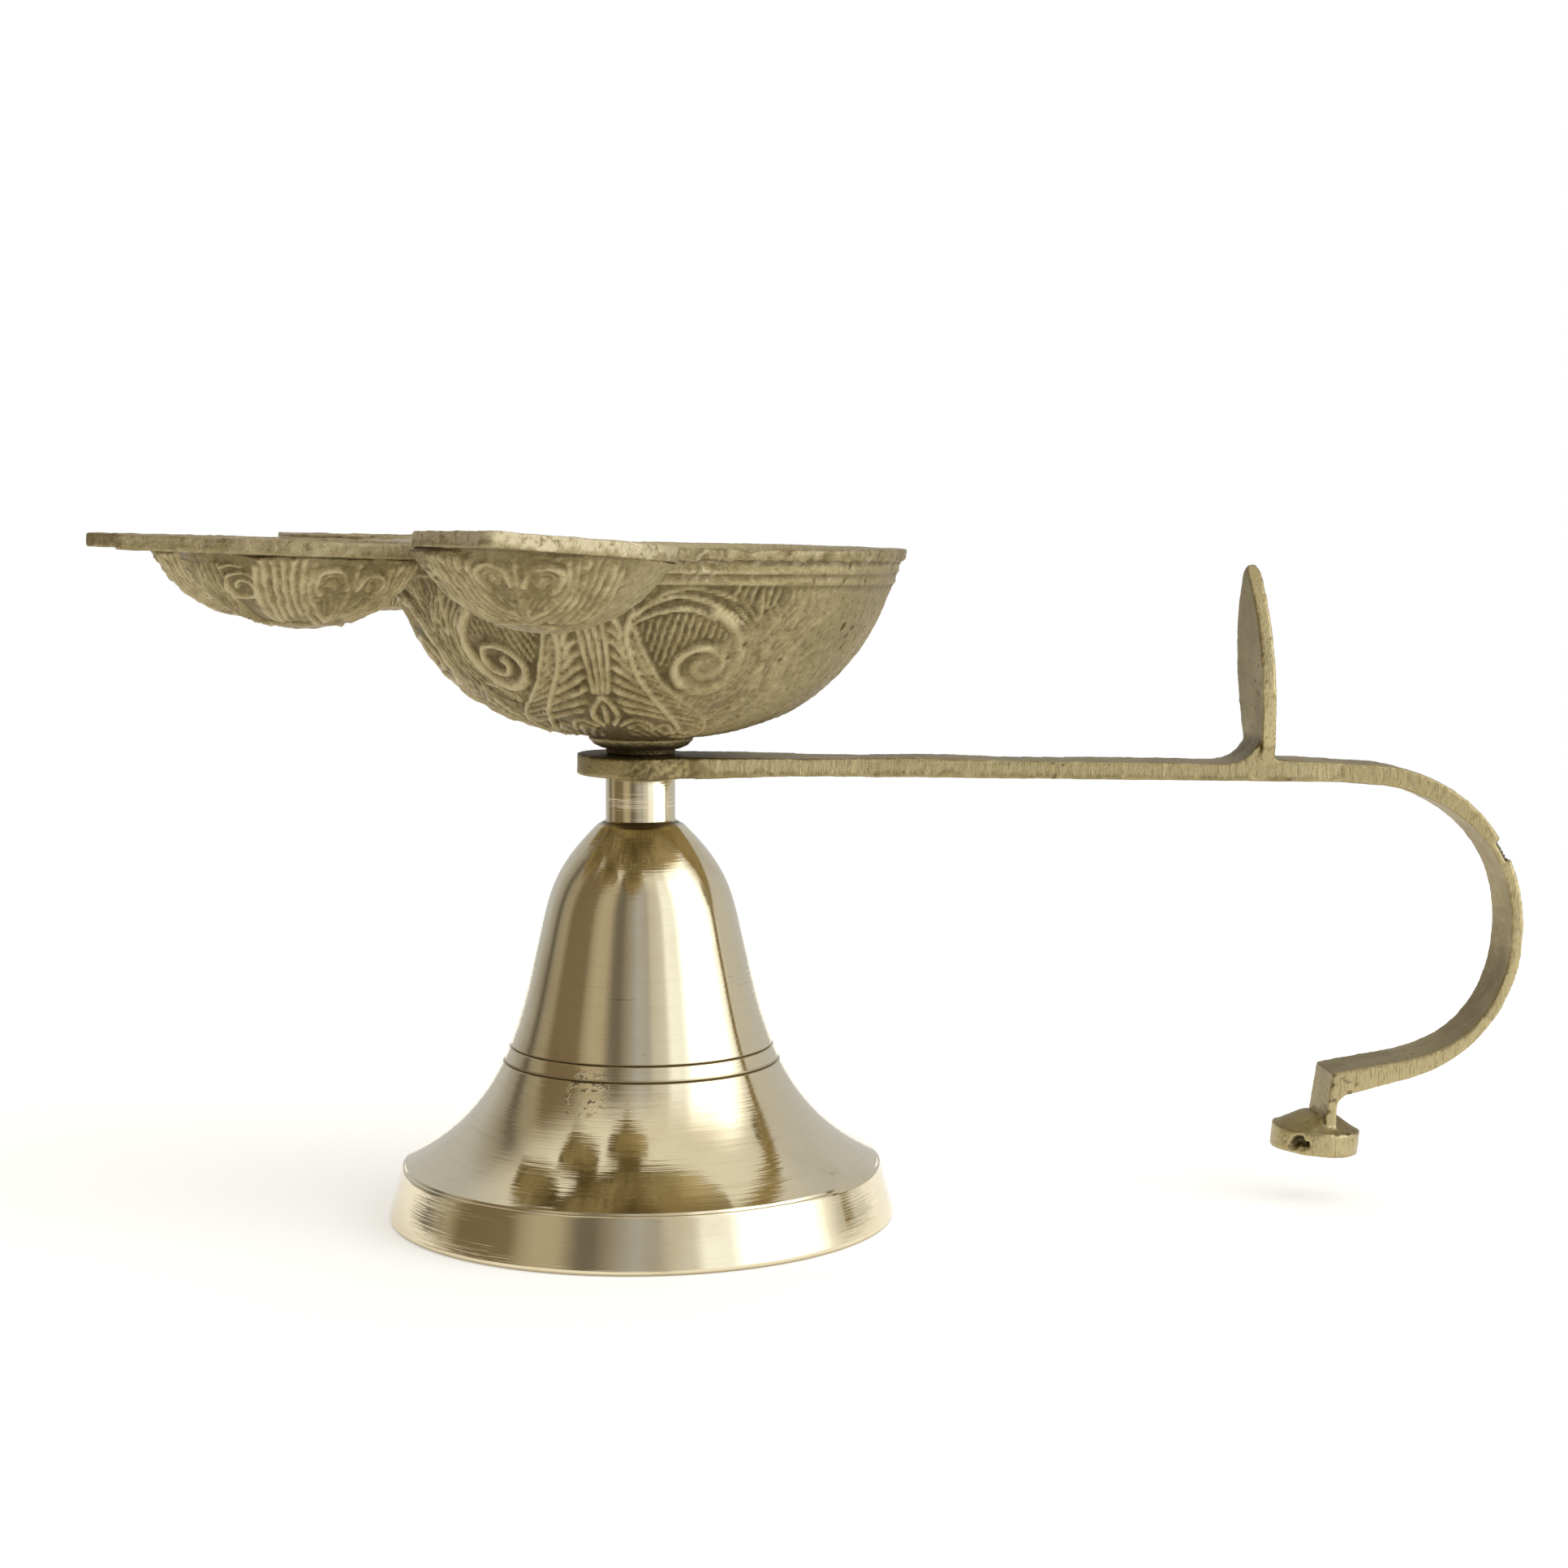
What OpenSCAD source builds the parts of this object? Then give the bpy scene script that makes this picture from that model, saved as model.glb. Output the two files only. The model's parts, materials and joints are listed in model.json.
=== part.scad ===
// Hand-held brass oil lamp: a turned bell foot, a cast strap handle clamped on
// its neck, an oil bowl screwed on top and a fan of five wick cups brazed to
// the bowl's rim.
// The origin is the centre of the foot's rest ring. +X points towards the
// handle, +Z up. Everything above the neck leans a little towards the handle.

/* [Bell foot] */
// Radius of the rest ring
base_r = 35.2; // [28:0.1:45]
// Height of the straight band at the rim of the bell
band_h = 7.2; // [4:0.1:10]
// How much narrower the top of the band is than its bottom
band_draft = 1.8; // [0.5:0.1:3]
// Width of the small ledge on top of the band
ledge_w = 0.5; // [0.2:0.1:1]
// Radius of the waist, where the flare turns into the dome
waist_r = 15; // [11:0.1:20]
// Height of the waist
waist_z = 35.4; // [28:0.1:40]
// Radius at the top of the dome
shoulder_r = 6; // [5.6:0.1:8]
// Height of the top of the dome
shoulder_z = 54.6; // [52:0.1:62]
// Thickness of the bell's wall
bell_wall = 1.9; // [1.2:0.1:3]
// Height of the upper turned groove
groove_z = 24; // [20:0.1:27]
// Distance between the two turned grooves
groove_gap = 2.1; // [1:0.1:4]
// Depth of a turned groove
groove_depth = 0.3; // [0.1:0.05:0.5]

/* [Neck] */
// Radius of the neck
neck_r = 4.8; // [4.2:0.1:5.4]
// Height of the neck above the dome
neck_h = 6.8; // [4:0.1:12]
// Thickness of the crown between the neck and the nut's seat
crown_t = 7.6; // [5:0.1:10]
// Lean of everything above the neck towards the handle, in degrees
head_lean = 1.1; // [0:0.1:3]

/* [Handle] */
// Direction of the handle, in degrees from +X
handle_turn = 5; // [-20:1:20]
// Radius of the eye that the stud goes through
eye_r = 8.75; // [7:0.05:12]
// Thickness of the eye
eye_t = 2.9; // [2:0.1:5]
// Thickness of the bar
bar_t = 2.5; // [1.8:0.1:3.5]
// Width of the bar, the loop and the leg
bar_w = 9; // [7:0.1:14]
// Width of the bar where it leaves the eye
bar_root_w = 12.5; // [10:0.1:16]
// Distance from the stud to the thumb rest's face
thumb_x = 86.4; // [70:0.1:100]
// Height of the thumb rest above the bar
thumb_h = 27.6; // [15:0.1:35]
// Width of the thumb rest at its widest
thumb_w = 15; // [11:0.1:20]
// Thickness of the thumb rest
thumb_t = 1.9; // [1.4:0.1:3]
// Lean of the thumb rest towards the lamp, in degrees
thumb_lean = 4.5; // [0:0.5:8]
// Distance from the stud to the middle of the finger loop
loop_x = 102; // [98:0.5:125]
// Outer radius of the loop's upper quarter
loop_r = 23; // [18:0.1:30]
// Outer radius of the loop's lower quarter
loop_low_r = 21.1; // [17:0.1:28]
// Thickness of the loop at its thinnest
loop_t = 1.6; // [1.2:0.1:2.4]
// Thickness of the leg
leg_t = 1.9; // [1.4:0.1:3]
// Length of the straight stretch between the loop's two quarters
loop_straight = 1.2; // [0:0.1:6]
// Height of the leg, from the loop's end to the button
leg_h = 5.6; // [4:0.1:12]
// Radius of the button at the end of the leg
button_r = 6.2; // [5.5:0.1:8]
// Height of the button's side
button_h = 3.4; // [2:0.1:5]

/* [Oil bowl] */
// Outer radius of the bowl's rim
rim_r = 36.2; // [28:0.1:44]
// Height of the bowl from the bottom of its curve to the rim
bowl_h = 26.4; // [20:0.1:34]
// Thickness of the bowl's wall
bowl_wall = 1.9; // [1.2:0.1:3]
// Height of the filed lip at the rim
lip_h = 1.5; // [0.8:0.1:3]
// How far the lip stands out from the wall
lip_out = 0.8; // [0.3:0.1:1.5]
// Radius of the foot disc under the bowl
foot_r = 7.2; // [6.4:0.1:10]
// Height of the foot disc
foot_h = 1.6; // [1:0.1:3]
// Radius of the threaded boss under the foot disc
boss_r = 4.8; // [4.2:0.1:6]
// Height of the threaded boss below the foot disc
boss_h = 0.8; // [0.5:0.1:3]
// Distance of the upper raised line below the rim
line_drop = 3.1; // [2.5:0.1:6]
// Distance between the two raised lines
line_gap = 1.3; // [1:0.1:3]

/* [Wick cups] */
// Distance from the stud to the middle of a cup
cup_dist = 52.7; // [46:0.1:70]
// Radius of the round part of a cup's flange
cup_r = 15.9; // [11:0.1:16.5]
// Distance from the middle of a cup to its pointed tip
cup_tip = 24.8; // [19:0.1:32]
// Thickness of a cup's flange
flange_t = 1.9; // [1.2:0.1:3]
// Depth of a cup, outside
cup_depth = 11.2; // [8:0.1:15]
// Thickness of a cup's wall
cup_wall = 1.5; // [1:0.1:2.5]
// Angle between neighbouring cups, in degrees
cup_step = 40; // [38:1:50]
// Width of the lug that joins a cup to the rim
lug_w = 14; // [8:0.1:20]
// Depth of the channel that the wick lies in
channel_depth = 0.8; // [0.3:0.1:1.2]

/* [Fasteners] */
// Radius of the stud
stud_r = 2.5; // [2:0.1:2.8]
// Radius of the washer
washer_r = 5.8; // [4:0.1:6.2]
// Thickness of the washer
washer_t = 1; // [0.6:0.1:1.5]
// Width of the nut across its flats
nut_w = 8; // [7:0.1:9.5]
// Height of the nut
nut_h = 4; // [2.5:0.1:5]
// Length of stud below the nut
stud_end = 1.2; // [0.5:0.1:4]
// Depth of the threaded hole in the boss
thread_depth = 3.9; // [2.5:0.1:4]

/* [Fits] */
// Gap between two faces that turn on each other
face_gap = 0.1; // [0.05:0.01:0.2]
// Radial clearance of a thread, drawn plain
thread_clear = 0.05; // [0.02:0.01:0.1]
// Radial clearance of the stud in the neck and in the eye
hole_clear = 0.3; // [0.2:0.05:0.5]

/* [Hidden] */
$fn = 96;

// Heights along the stud, in the leaning frame
neck_z = shoulder_z + neck_h;
seat_z = shoulder_z - crown_t;
eye_z = neck_z + face_gap;
bar_z = eye_z + eye_t;
boss_z = bar_z + face_gap;
foot_z = boss_z + boss_h;
bowl_z = foot_z + foot_h;
rim_z = bowl_z + bowl_h;
stud_top = boss_z + thread_depth - 0.3;
stud_bottom = seat_z - washer_t - nut_h - stud_end;

// Each cup's hand-set errors: turn, lift, tip raised and roll, in degrees and millimetres
cup_set = [[2, -0.9, 0, 0.5], [-1, 0.2, 0, 0], [-3, -0.1, 0.4, 0.5], [-2, 0.1, 1, -0.5], [0, 0.9, 2.5, -1.8]];

// Points on a cubic curve from a to d, with b and c as its handles
function curve(a, b, c, d, n = 24) = [for (i = [0:n]) let (t = i / n, s = 1 - t)
    s * s * s * a + 3 * s * s * t * b + 3 * s * t * t * c + t * t * t * d];
// Points on an arc of radius r about c, from angle a to angle b
function arc(c, r, a, b, n = 12) = [for (i = [0:n]) let (t = a + (b - a) * i / n)
    c + r * [cos(t), sin(t)]];
// The points moved sideways by d, to the right of the way they run
function beside(p, d) = [for (i = [0:len(p) - 1])
    let (v = p[min(i + 1, len(p) - 1)] - p[max(i - 1, 0)]) p[i] + d * [v[1], -v[0]] / norm(v)];
// The list in the other order
function flip(p) = [for (i = [len(p) - 1:-1:0]) p[i]];
// The radius of a profile at a height
function radius_at(p, z) = lookup(z, [for (q = p) [q[1], q[0]]]);
// A step that rises smoothly from 0 to 1
function ease(t) = let (s = min(1, max(0, t))) s * s * (3 - 2 * s);
// A point between a and b, at its own share of each way
function share(a, b, s) = [a[0] + (b[0] - a[0]) * s[0], a[1] + (b[1] - a[1]) * s[1]];

// The bell's outline, from the ledge up
band_top_r = base_r - band_draft;
flare_end = [band_top_r - ledge_w, band_h + ledge_w];
waist = [waist_r, waist_z];
shoulder = [shoulder_r, shoulder_z];
flare = curve(flare_end, share(flare_end, waist, [0.68, 0.235]), share(flare_end, waist, [0.85, 0.58]), waist);
dome = curve(waist, share(waist, shoulder, [0.27, 0.5]), share(waist, shoulder, [0.23, 0.64]), shoulder);

// The bowl's outline, from its foot to the lip
wall_top = [rim_r - lip_out, rim_z - lip_h];
wall_foot = [foot_r - 0.2, bowl_z];
bowl_side = curve(wall_foot, share(wall_foot, wall_top, [0.69, 0.09]),
                  share(wall_foot, wall_top, [0.88, 0.57]), wall_top, 30);

// The loop's outer and inner edges, each an upper and a lower quarter
loop_z = bar_z - loop_r;
loop_low = [loop_x + loop_r - loop_low_r, loop_z - loop_straight];
loop_end_angle = -75;
function strap_t(a) = loop_t + (bar_t + 0.3 - loop_t) * ease((abs(a) - (a > 0 ? 18 : 35)) / (a > 0 ? 55 : 45));
loop_outer = concat(arc([loop_x, loop_z], loop_r, 90, 0, 14),
                    arc(loop_low, loop_low_r, -6, loop_end_angle, 12));
loop_inner = concat([for (i = [0:14]) let (a = 90 - i * 90 / 14)
                        [loop_x, loop_z] + (loop_r - strap_t(a)) * [cos(a), sin(a)]],
                    [for (i = [1:13]) let (a = i * loop_end_angle / 13)
                        loop_low + (loop_low_r - strap_t(a)) * [cos(a), sin(a)]]);
// The leg hangs from the loop's lower end
loop_end = loop_outer[len(loop_outer) - 1];
leg_x = loop_x - 3.7;
leg_top = loop_end[1] + 0.8;
leg_lean = 8;
button_x = leg_x - 1;
button_z = loop_end[1] - leg_h - 2;
button_tilt = 4;
leg_run = (leg_top - button_z) * tan(leg_lean);
leg_fillet = 1.9;
thumb_fillet = 5;
// How much thicker the bar is under the thumb rest
thumb_hump = 0.5;

// Places something in the frame that leans with the stud
module lean() {
    translate([0, 0, neck_z]) rotate([0, head_lean, 0]) translate([0, 0, -neck_z]) children();
}

module bell_base() color("#d8c48a") difference() {
    rotate_extrude() polygon(concat([[0, 0], [base_r, 0], [base_r, 0.6], [band_top_r, band_h]],
        flare, dome, [[neck_r + 0.3, shoulder_z + 0.6], [neck_r, shoulder_z + 1.6],
        [neck_r, neck_z + 1], [0, neck_z + 1]]));
    // The hollow inside, up to the crown
    rotate_extrude() polygon(concat([[0, -1], [band_top_r - bell_wall + 0.4, -1]],
        [for (p = beside(concat(flare, dome), -bell_wall)) if (p[1] < seat_z - 0.2) p],
        [[0, seat_z - 0.2]]));
    for (z = [groove_z, groove_z - groove_gap]) groove(z);
    lean() {
        translate([0, 0, neck_z]) cylinder(h = 5, r = 2 * neck_r);
        translate([0, 0, seat_z - 1]) cylinder(h = 1, r = washer_r + 0.4);
        translate([0, 0, seat_z - 2]) cylinder(h = neck_z - seat_z + 4, r = stud_r + hole_clear);
    }
}

// A V-shaped groove turned into the flare
module groove(z) {
    r = radius_at(concat(flare, dome), z);
    rotate_extrude() polygon([[r - groove_depth, z], [r + 1, z - 1.4], [r + 1, z + 1.4]]);
}

module lock_washer() color("#b9a26a") lean() translate([0, 0, seat_z - washer_t]) difference() {
    cylinder(h = washer_t, r = washer_r);
    translate([0, 0, -1]) cylinder(h = washer_t + 2, r = stud_r + hole_clear);
}

module lock_nut() color("#a98f55") lean() translate([0, 0, seat_z - washer_t - nut_h]) difference() {
    cylinder(h = nut_h, r = nut_w / sqrt(3), $fn = 6);
    translate([0, 0, -1]) cylinder(h = nut_h + 2, r = stud_r + thread_clear);
}

module stud() color("#8f7a48") lean() translate([0, 0, stud_bottom])
    cylinder(h = stud_top - stud_bottom, r = stud_r);

module handle() color("#b39c62") lean() rotate([0, 0, handle_turn]) difference() {
    union() {
        translate([0, 0, eye_z]) cylinder(h = eye_t, r = eye_r);
        intersection() {
            strap();
            plan();
        }
        thumb_rest();
        button();
    }
    translate([0, 0, eye_z - 1]) cylinder(h = eye_t + 2, r = stud_r + hole_clear);
}

// The bar, the loop and the leg, seen from the side
module strap() rotate([90, 0, 0]) linear_extrude(2 * bar_root_w, center = true) polygon(concat(
    [[0, eye_z], [0, bar_z], [thumb_x - thumb_fillet, bar_z]],
    arc([thumb_x - thumb_fillet, bar_z + thumb_fillet], thumb_fillet, -90, 0, 6),
    [[thumb_x + thumb_t - 0.4, bar_z + thumb_fillet]],
    arc([thumb_x + thumb_t + 1.1, bar_z + thumb_hump + 1.5], 1.5, 180, 268, 5),
    [[loop_x - 6, bar_z + 0.2]],
    loop_outer,
    arc([leg_x + leg_t + 0.8, loop_end[1] - 2.3 - leg_fillet], leg_fillet, 95, 180, 6),
    [[leg_x + leg_t - leg_run, button_z - 1], [leg_x - leg_run, button_z - 1], [leg_x, leg_top]],
    flip(loop_inner),
    [[loop_x - 4, bar_z - bar_t], [2.3 * eye_r, bar_z - bar_t], [eye_r, eye_z]]));

// The same, seen from above
module plan() translate([0, 0, button_z]) linear_extrude(bar_z + thumb_fillet - button_z) polygon([
    [0, -bar_root_w / 2], [eye_r, -bar_root_w / 2], [3.4 * eye_r, -bar_w / 2], [loop_x + 2 * loop_r, -bar_w / 2],
    [loop_x + 2 * loop_r, bar_w / 2], [3.4 * eye_r, bar_w / 2], [eye_r, bar_root_w / 2], [0, bar_root_w / 2]]);

// A pointed leaf that stands across the bar
module thumb_rest() translate([thumb_x, 0, bar_z]) rotate([0, -thumb_lean, 0]) rotate([90, 0, 90])
    linear_extrude(thumb_t) {
        side = curve([bar_w / 2, 0], [0.64 * thumb_w, 0.43 * thumb_h],
                     [0.5 * thumb_w, 0.74 * thumb_h], [0.4, thumb_h], 14);
        polygon(concat([[-bar_w / 2, -1], [bar_w / 2, -1]], side, flip([for (p = side) [-p[0], p[1]]])));
    }

// A flat round button with a sloping shoulder
module button() translate([button_x, 0, button_z]) rotate([0, button_tilt, 0]) {
    translate([0, 0, -button_h]) cylinder(h = button_h, r = button_r);
    cylinder(h = 2, r1 = button_r - 0.4, r2 = 2.4);
}

module oil_bowl() color("#b8a065") lean() difference() {
    rotate_extrude() polygon(concat([[0, boss_z], [boss_r, boss_z], [boss_r, foot_z],
        [foot_r - 1.5, foot_z], [foot_r, foot_z + 0.8 * foot_h], [foot_r - 0.4, bowl_z]],
        bowl_side, [[rim_r - 0.3, wall_top[1] + 0.1], [rim_r, rim_z], [rim_r - bowl_wall, rim_z]],
        flip(beside(bowl_side, -bowl_wall)), [[0, bowl_z + 1.35 * bowl_wall]]));
    translate([0, 0, boss_z - 1]) cylinder(h = thread_depth + 1, r = stud_r + thread_clear);
}
// The two raised lines below the rim are part of the bowl's casting
module raised_lines() color("#b8a065") lean()
    for (z = [rim_z - line_drop, rim_z - line_drop - line_gap]) {
        r = radius_at(bowl_side, z);
        rotate_extrude() polygon([[r - 0.5, z - 0.35], [r + 0.2, z], [r - 0.5, z + 0.35]]);
    }

// The lug runs past the rim's edge before it is cut to the rim's curve
lug_reach = cup_dist - rim_r + 4.4;

// One cup about its own middle, its tip along +X and the top of its flange at 0
ball_r = (cup_depth * cup_depth + cup_r * cup_r) / (2 * cup_depth) + 0.1;
ball_z = ball_r - cup_depth;
module cup_body() difference() {
    union() {
        translate([0, 0, -flange_t]) linear_extrude(flange_t) polygon(flange_outline());
        translate([0, 0, -flange_t]) linear_extrude(flange_t)
            polygon([[-lug_reach, -lug_w / 2], [0, -lug_w / 2], [0, lug_w / 2], [-lug_reach, lug_w / 2]]);
        intersection() {
            translate([0, 0, ball_z]) sphere(ball_r);
            translate([0, 0, -cup_depth - 1]) cylinder(h = cup_depth + 1, r = cup_r);
        }
    }
    translate([0, 0, ball_z]) sphere(ball_r - cup_wall);
    // The channel that the wick lies in
    translate([0, 0, 4 - channel_depth]) rotate([0, 90, 0]) cylinder(h = cup_tip - 5, r = 4);
    translate([cup_tip - 5, 0, 4 - channel_depth]) sphere(4);
}

// A round flange drawn out to a point
function flange_outline() =
    let (a = 58, p = cup_r * [cos(a), sin(a)], t = [sin(a), -cos(a)],
         side = concat(arc([0, 0], cup_r, 180, a, 20),
                       curve(p, p + 6 * t, [cup_tip - 3.6, 2.6], [cup_tip, 0.9], 10)))
    concat(side, flip([for (q = side) [q[0], -q[1]]]));

// A cup in its place in the fan, its lug cut to the curve of the rim
module wick_cup(i) color("#b39a5e") lean() {
    e = cup_set[i];
    difference() {
        rotate([0, 0, 180 + (i - 2) * cup_step + e[0]]) translate([cup_dist, 0, rim_z + e[1]])
            rotate([e[3], -e[2], 0]) cup_body();
        translate([0, 0, rim_z - cup_depth - 3]) cylinder(h = cup_depth + 10, r = rim_r);
    }
}

bell_base();
lock_washer();
lock_nut();
stud();
handle();
union() {
    oil_bowl();
    raised_lines();
}
wick_cup(0);  // wick_cup_1
wick_cup(1);  // wick_cup_2
wick_cup(2);  // wick_cup_3
wick_cup(3);  // wick_cup_4
wick_cup(4);  // wick_cup_5
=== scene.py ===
import bpy
import json
import math
import numpy as np
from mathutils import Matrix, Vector


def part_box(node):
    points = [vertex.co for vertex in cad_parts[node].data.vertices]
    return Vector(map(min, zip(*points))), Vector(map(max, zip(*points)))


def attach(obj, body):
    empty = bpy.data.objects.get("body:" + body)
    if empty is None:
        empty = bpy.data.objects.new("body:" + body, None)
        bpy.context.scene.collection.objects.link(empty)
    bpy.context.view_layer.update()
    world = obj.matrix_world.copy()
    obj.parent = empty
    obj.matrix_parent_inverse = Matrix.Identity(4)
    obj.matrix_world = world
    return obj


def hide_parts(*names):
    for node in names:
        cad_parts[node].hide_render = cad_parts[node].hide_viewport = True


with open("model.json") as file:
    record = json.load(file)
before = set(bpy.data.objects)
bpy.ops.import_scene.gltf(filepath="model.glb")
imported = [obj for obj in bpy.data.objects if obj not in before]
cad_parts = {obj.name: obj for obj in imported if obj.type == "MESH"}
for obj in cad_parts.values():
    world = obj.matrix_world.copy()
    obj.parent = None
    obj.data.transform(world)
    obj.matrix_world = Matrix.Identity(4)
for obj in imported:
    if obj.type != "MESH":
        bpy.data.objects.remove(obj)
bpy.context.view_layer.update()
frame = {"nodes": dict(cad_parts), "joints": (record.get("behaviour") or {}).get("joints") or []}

mm = 0.001
swivel = frame["joints"][0]
pivot = np.array(swivel["pos_m"])
headAxis = np.array(swivel["axis"])
headLean = math.atan2(headAxis[0], headAxis[2])
print("frame loaded:", len(frame["nodes"]), "nodes, head lean", round(math.degrees(headLean), 2), "degrees")


# Small tools that the pieces share.

def deselectAll():
    for thing in list(bpy.context.selected_objects):
        thing.select_set(False)


def makeActive(piece):
    deselectAll()
    piece.select_set(True)
    bpy.context.view_layer.objects.active = piece


def readSpots(piece):
    spots = np.zeros(len(piece.data.vertices) * 3, np.float32)
    piece.data.vertices.foreach_get("co", spots)
    return spots.reshape(-1, 3).astype(float)


def writeSpots(piece, spots):
    piece.data.vertices.foreach_set("co", spots.astype(np.float32).ravel())
    piece.data.update()


def readNormals(piece):
    normals = np.zeros(len(piece.data.vertices) * 3, np.float32)
    piece.data.vertices.foreach_get("normal", normals)
    return normals.reshape(-1, 3).astype(float)


def setMark(piece, name, values):
    # one number for each vertex, which the materials read by its name
    mark = piece.data.attributes.get(name) or piece.data.attributes.new(name, "FLOAT", "POINT")
    mark.data.foreach_set("value", np.clip(values, 0, 1).astype(np.float32))


def closeUp(piece, gap=2e-6):
    # merges the seam and the poles, and turns all faces outwards
    makeActive(piece)
    bpy.ops.object.mode_set(mode="EDIT")
    bpy.ops.mesh.select_all(action="SELECT")
    bpy.ops.mesh.remove_doubles(threshold=gap)
    bpy.ops.mesh.dissolve_degenerate(threshold=1e-7)
    bpy.ops.mesh.normals_make_consistent(inside=False)
    bpy.ops.object.mode_set(mode="OBJECT")
    bpy.ops.object.shade_smooth()


def applyModifier(piece, kind, **settings):
    makeActive(piece)
    modifier = piece.modifiers.new(kind.lower(), kind)
    for key, value in settings.items():
        setattr(modifier, key, value)
    bpy.ops.object.modifier_apply(modifier=modifier.name)


def bentGrid(name, around, along, place):
    # a flat grid whose columns run round the piece and whose rows run along its outline
    deselectAll()
    bpy.ops.mesh.primitive_grid_add(x_subdivisions=around, y_subdivisions=along, size=2)
    piece = bpy.context.object
    piece.name = piece.data.name = name
    flat = readSpots(piece)
    writeSpots(piece, place(piece, (flat[:, 0] + 1) / 2, (flat[:, 1] + 1) / 2))
    return piece


def spunOutline(name, outline, steps):
    # one vertex is extruded from point to point, and the line is spun about the z axis
    deselectAll()
    bpy.ops.mesh.primitive_plane_add(size=mm)
    piece = bpy.context.object
    piece.name = piece.data.name = name
    points = [Vector((radius, 0, height)) * mm for radius, height in outline]
    bpy.ops.object.mode_set(mode="EDIT")
    bpy.ops.mesh.select_all(action="SELECT")
    bpy.ops.mesh.merge(type="CENTER")
    bpy.ops.transform.translate(value=points[0])
    for here, there in zip(points, points[1:]):
        bpy.ops.mesh.extrude_region_move(TRANSFORM_OT_translate={"value": there - here})
    bpy.ops.mesh.select_all(action="SELECT")
    bpy.ops.mesh.spin(steps=steps, angle=2 * math.pi, center=(0, 0, 0), axis=(0, 0, 1))
    bpy.ops.object.mode_set(mode="OBJECT")
    closeUp(piece)
    return piece


def leanSpots(spots):
    # the place of something that leans with the stud
    c, s = math.cos(headLean), math.sin(headLean)
    x, y, z = (spots - pivot).T
    return np.column_stack([c * x + s * z, y, c * z - s * x]) + pivot


def unleanSpots(spots):
    c, s = math.cos(headLean), math.sin(headLean)
    x, y, z = (spots - pivot).T
    return np.column_stack([c * x - s * z, y, c * z + s * x]) + pivot


def ease(values, start, end):
    # rises smoothly from 0 at start to 1 at end
    t = np.clip((values - start) / (end - start), 0, 1)
    return t * t * (3 - 2 * t)


def rumple(spots, size, seed, waves=14):
    # a smooth random field: plane waves in random directions, most of it between -1 and 1
    draw = np.random.default_rng(seed)
    ways = draw.normal(size=(waves, 3))
    ways /= np.linalg.norm(ways, axis=1)[:, None] * size * draw.uniform(0.7, 1.6, (waves, 1))
    field = np.sin(spots @ ways.T * 2 * math.pi + draw.uniform(0, 2 * math.pi, waves)).sum(1)
    return field / math.sqrt(waves)


def streaks(along, pitch, seed):
    # random lines across a direction, from -1 to 1
    draw = np.random.default_rng(seed)
    knots = draw.uniform(-1, 1, 4096)
    return np.interp(along / pitch % 4095, np.arange(4096), knots)


def cubic(a, b, c, d, count):
    t = np.linspace(0, 1, count + 1)[:, None]
    a, b, c, d = (np.array(p, float) for p in (a, b, c, d))
    return (1 - t) ** 3 * a + 3 * (1 - t) ** 2 * t * b + 3 * (1 - t) * t * t * c + t ** 3 * d


def share(a, b, s):
    return (a[0] + (b[0] - a[0]) * s[0], a[1] + (b[1] - a[1]) * s[1])


def beside(line, distance):
    # the line moved sideways, to the right of the way it runs
    run = np.gradient(line, axis=0)
    run /= np.linalg.norm(run, axis=1)[:, None]
    return line + distance * np.column_stack([run[:, 1], -run[:, 0]])


def lengthAlong(line):
    return np.concatenate([[0], np.cumsum(np.linalg.norm(np.diff(line, axis=0), axis=1))])


def evenly(line, spacing):
    # the same line, with points at an even spacing
    length = lengthAlong(np.array(line))
    steps = max(1, round(length[-1] / spacing))
    where = np.linspace(0, length[-1], steps + 1)
    return np.column_stack([np.interp(where, length, [p[i] for p in line]) for i in (0, 1)])


# Shader expressions: a Wire is a socket, and sums on it add Math nodes.

def socketNamed(sockets, key):
    # a node can hold several sockets of one name, of which one is in use
    return sockets[key] if isinstance(key, int) else next(s for s in sockets if s.name == key and s.enabled)


class Wire:
    def __init__(self, finish, socket):
        self.finish = finish
        self.socket = socket

    def sum(self, kind, first, second):
        return self.finish.node("Math", {"operation": kind}, {0: first, 1: second})

    def __add__(self, other):
        return self.sum("ADD", self, other)

    def __radd__(self, other):
        return self.sum("ADD", other, self)

    def __sub__(self, other):
        return self.sum("SUBTRACT", self, other)

    def __rsub__(self, other):
        return self.sum("SUBTRACT", other, self)

    def __mul__(self, other):
        return self.sum("MULTIPLY", self, other)

    def __rmul__(self, other):
        return self.sum("MULTIPLY", other, self)


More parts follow.
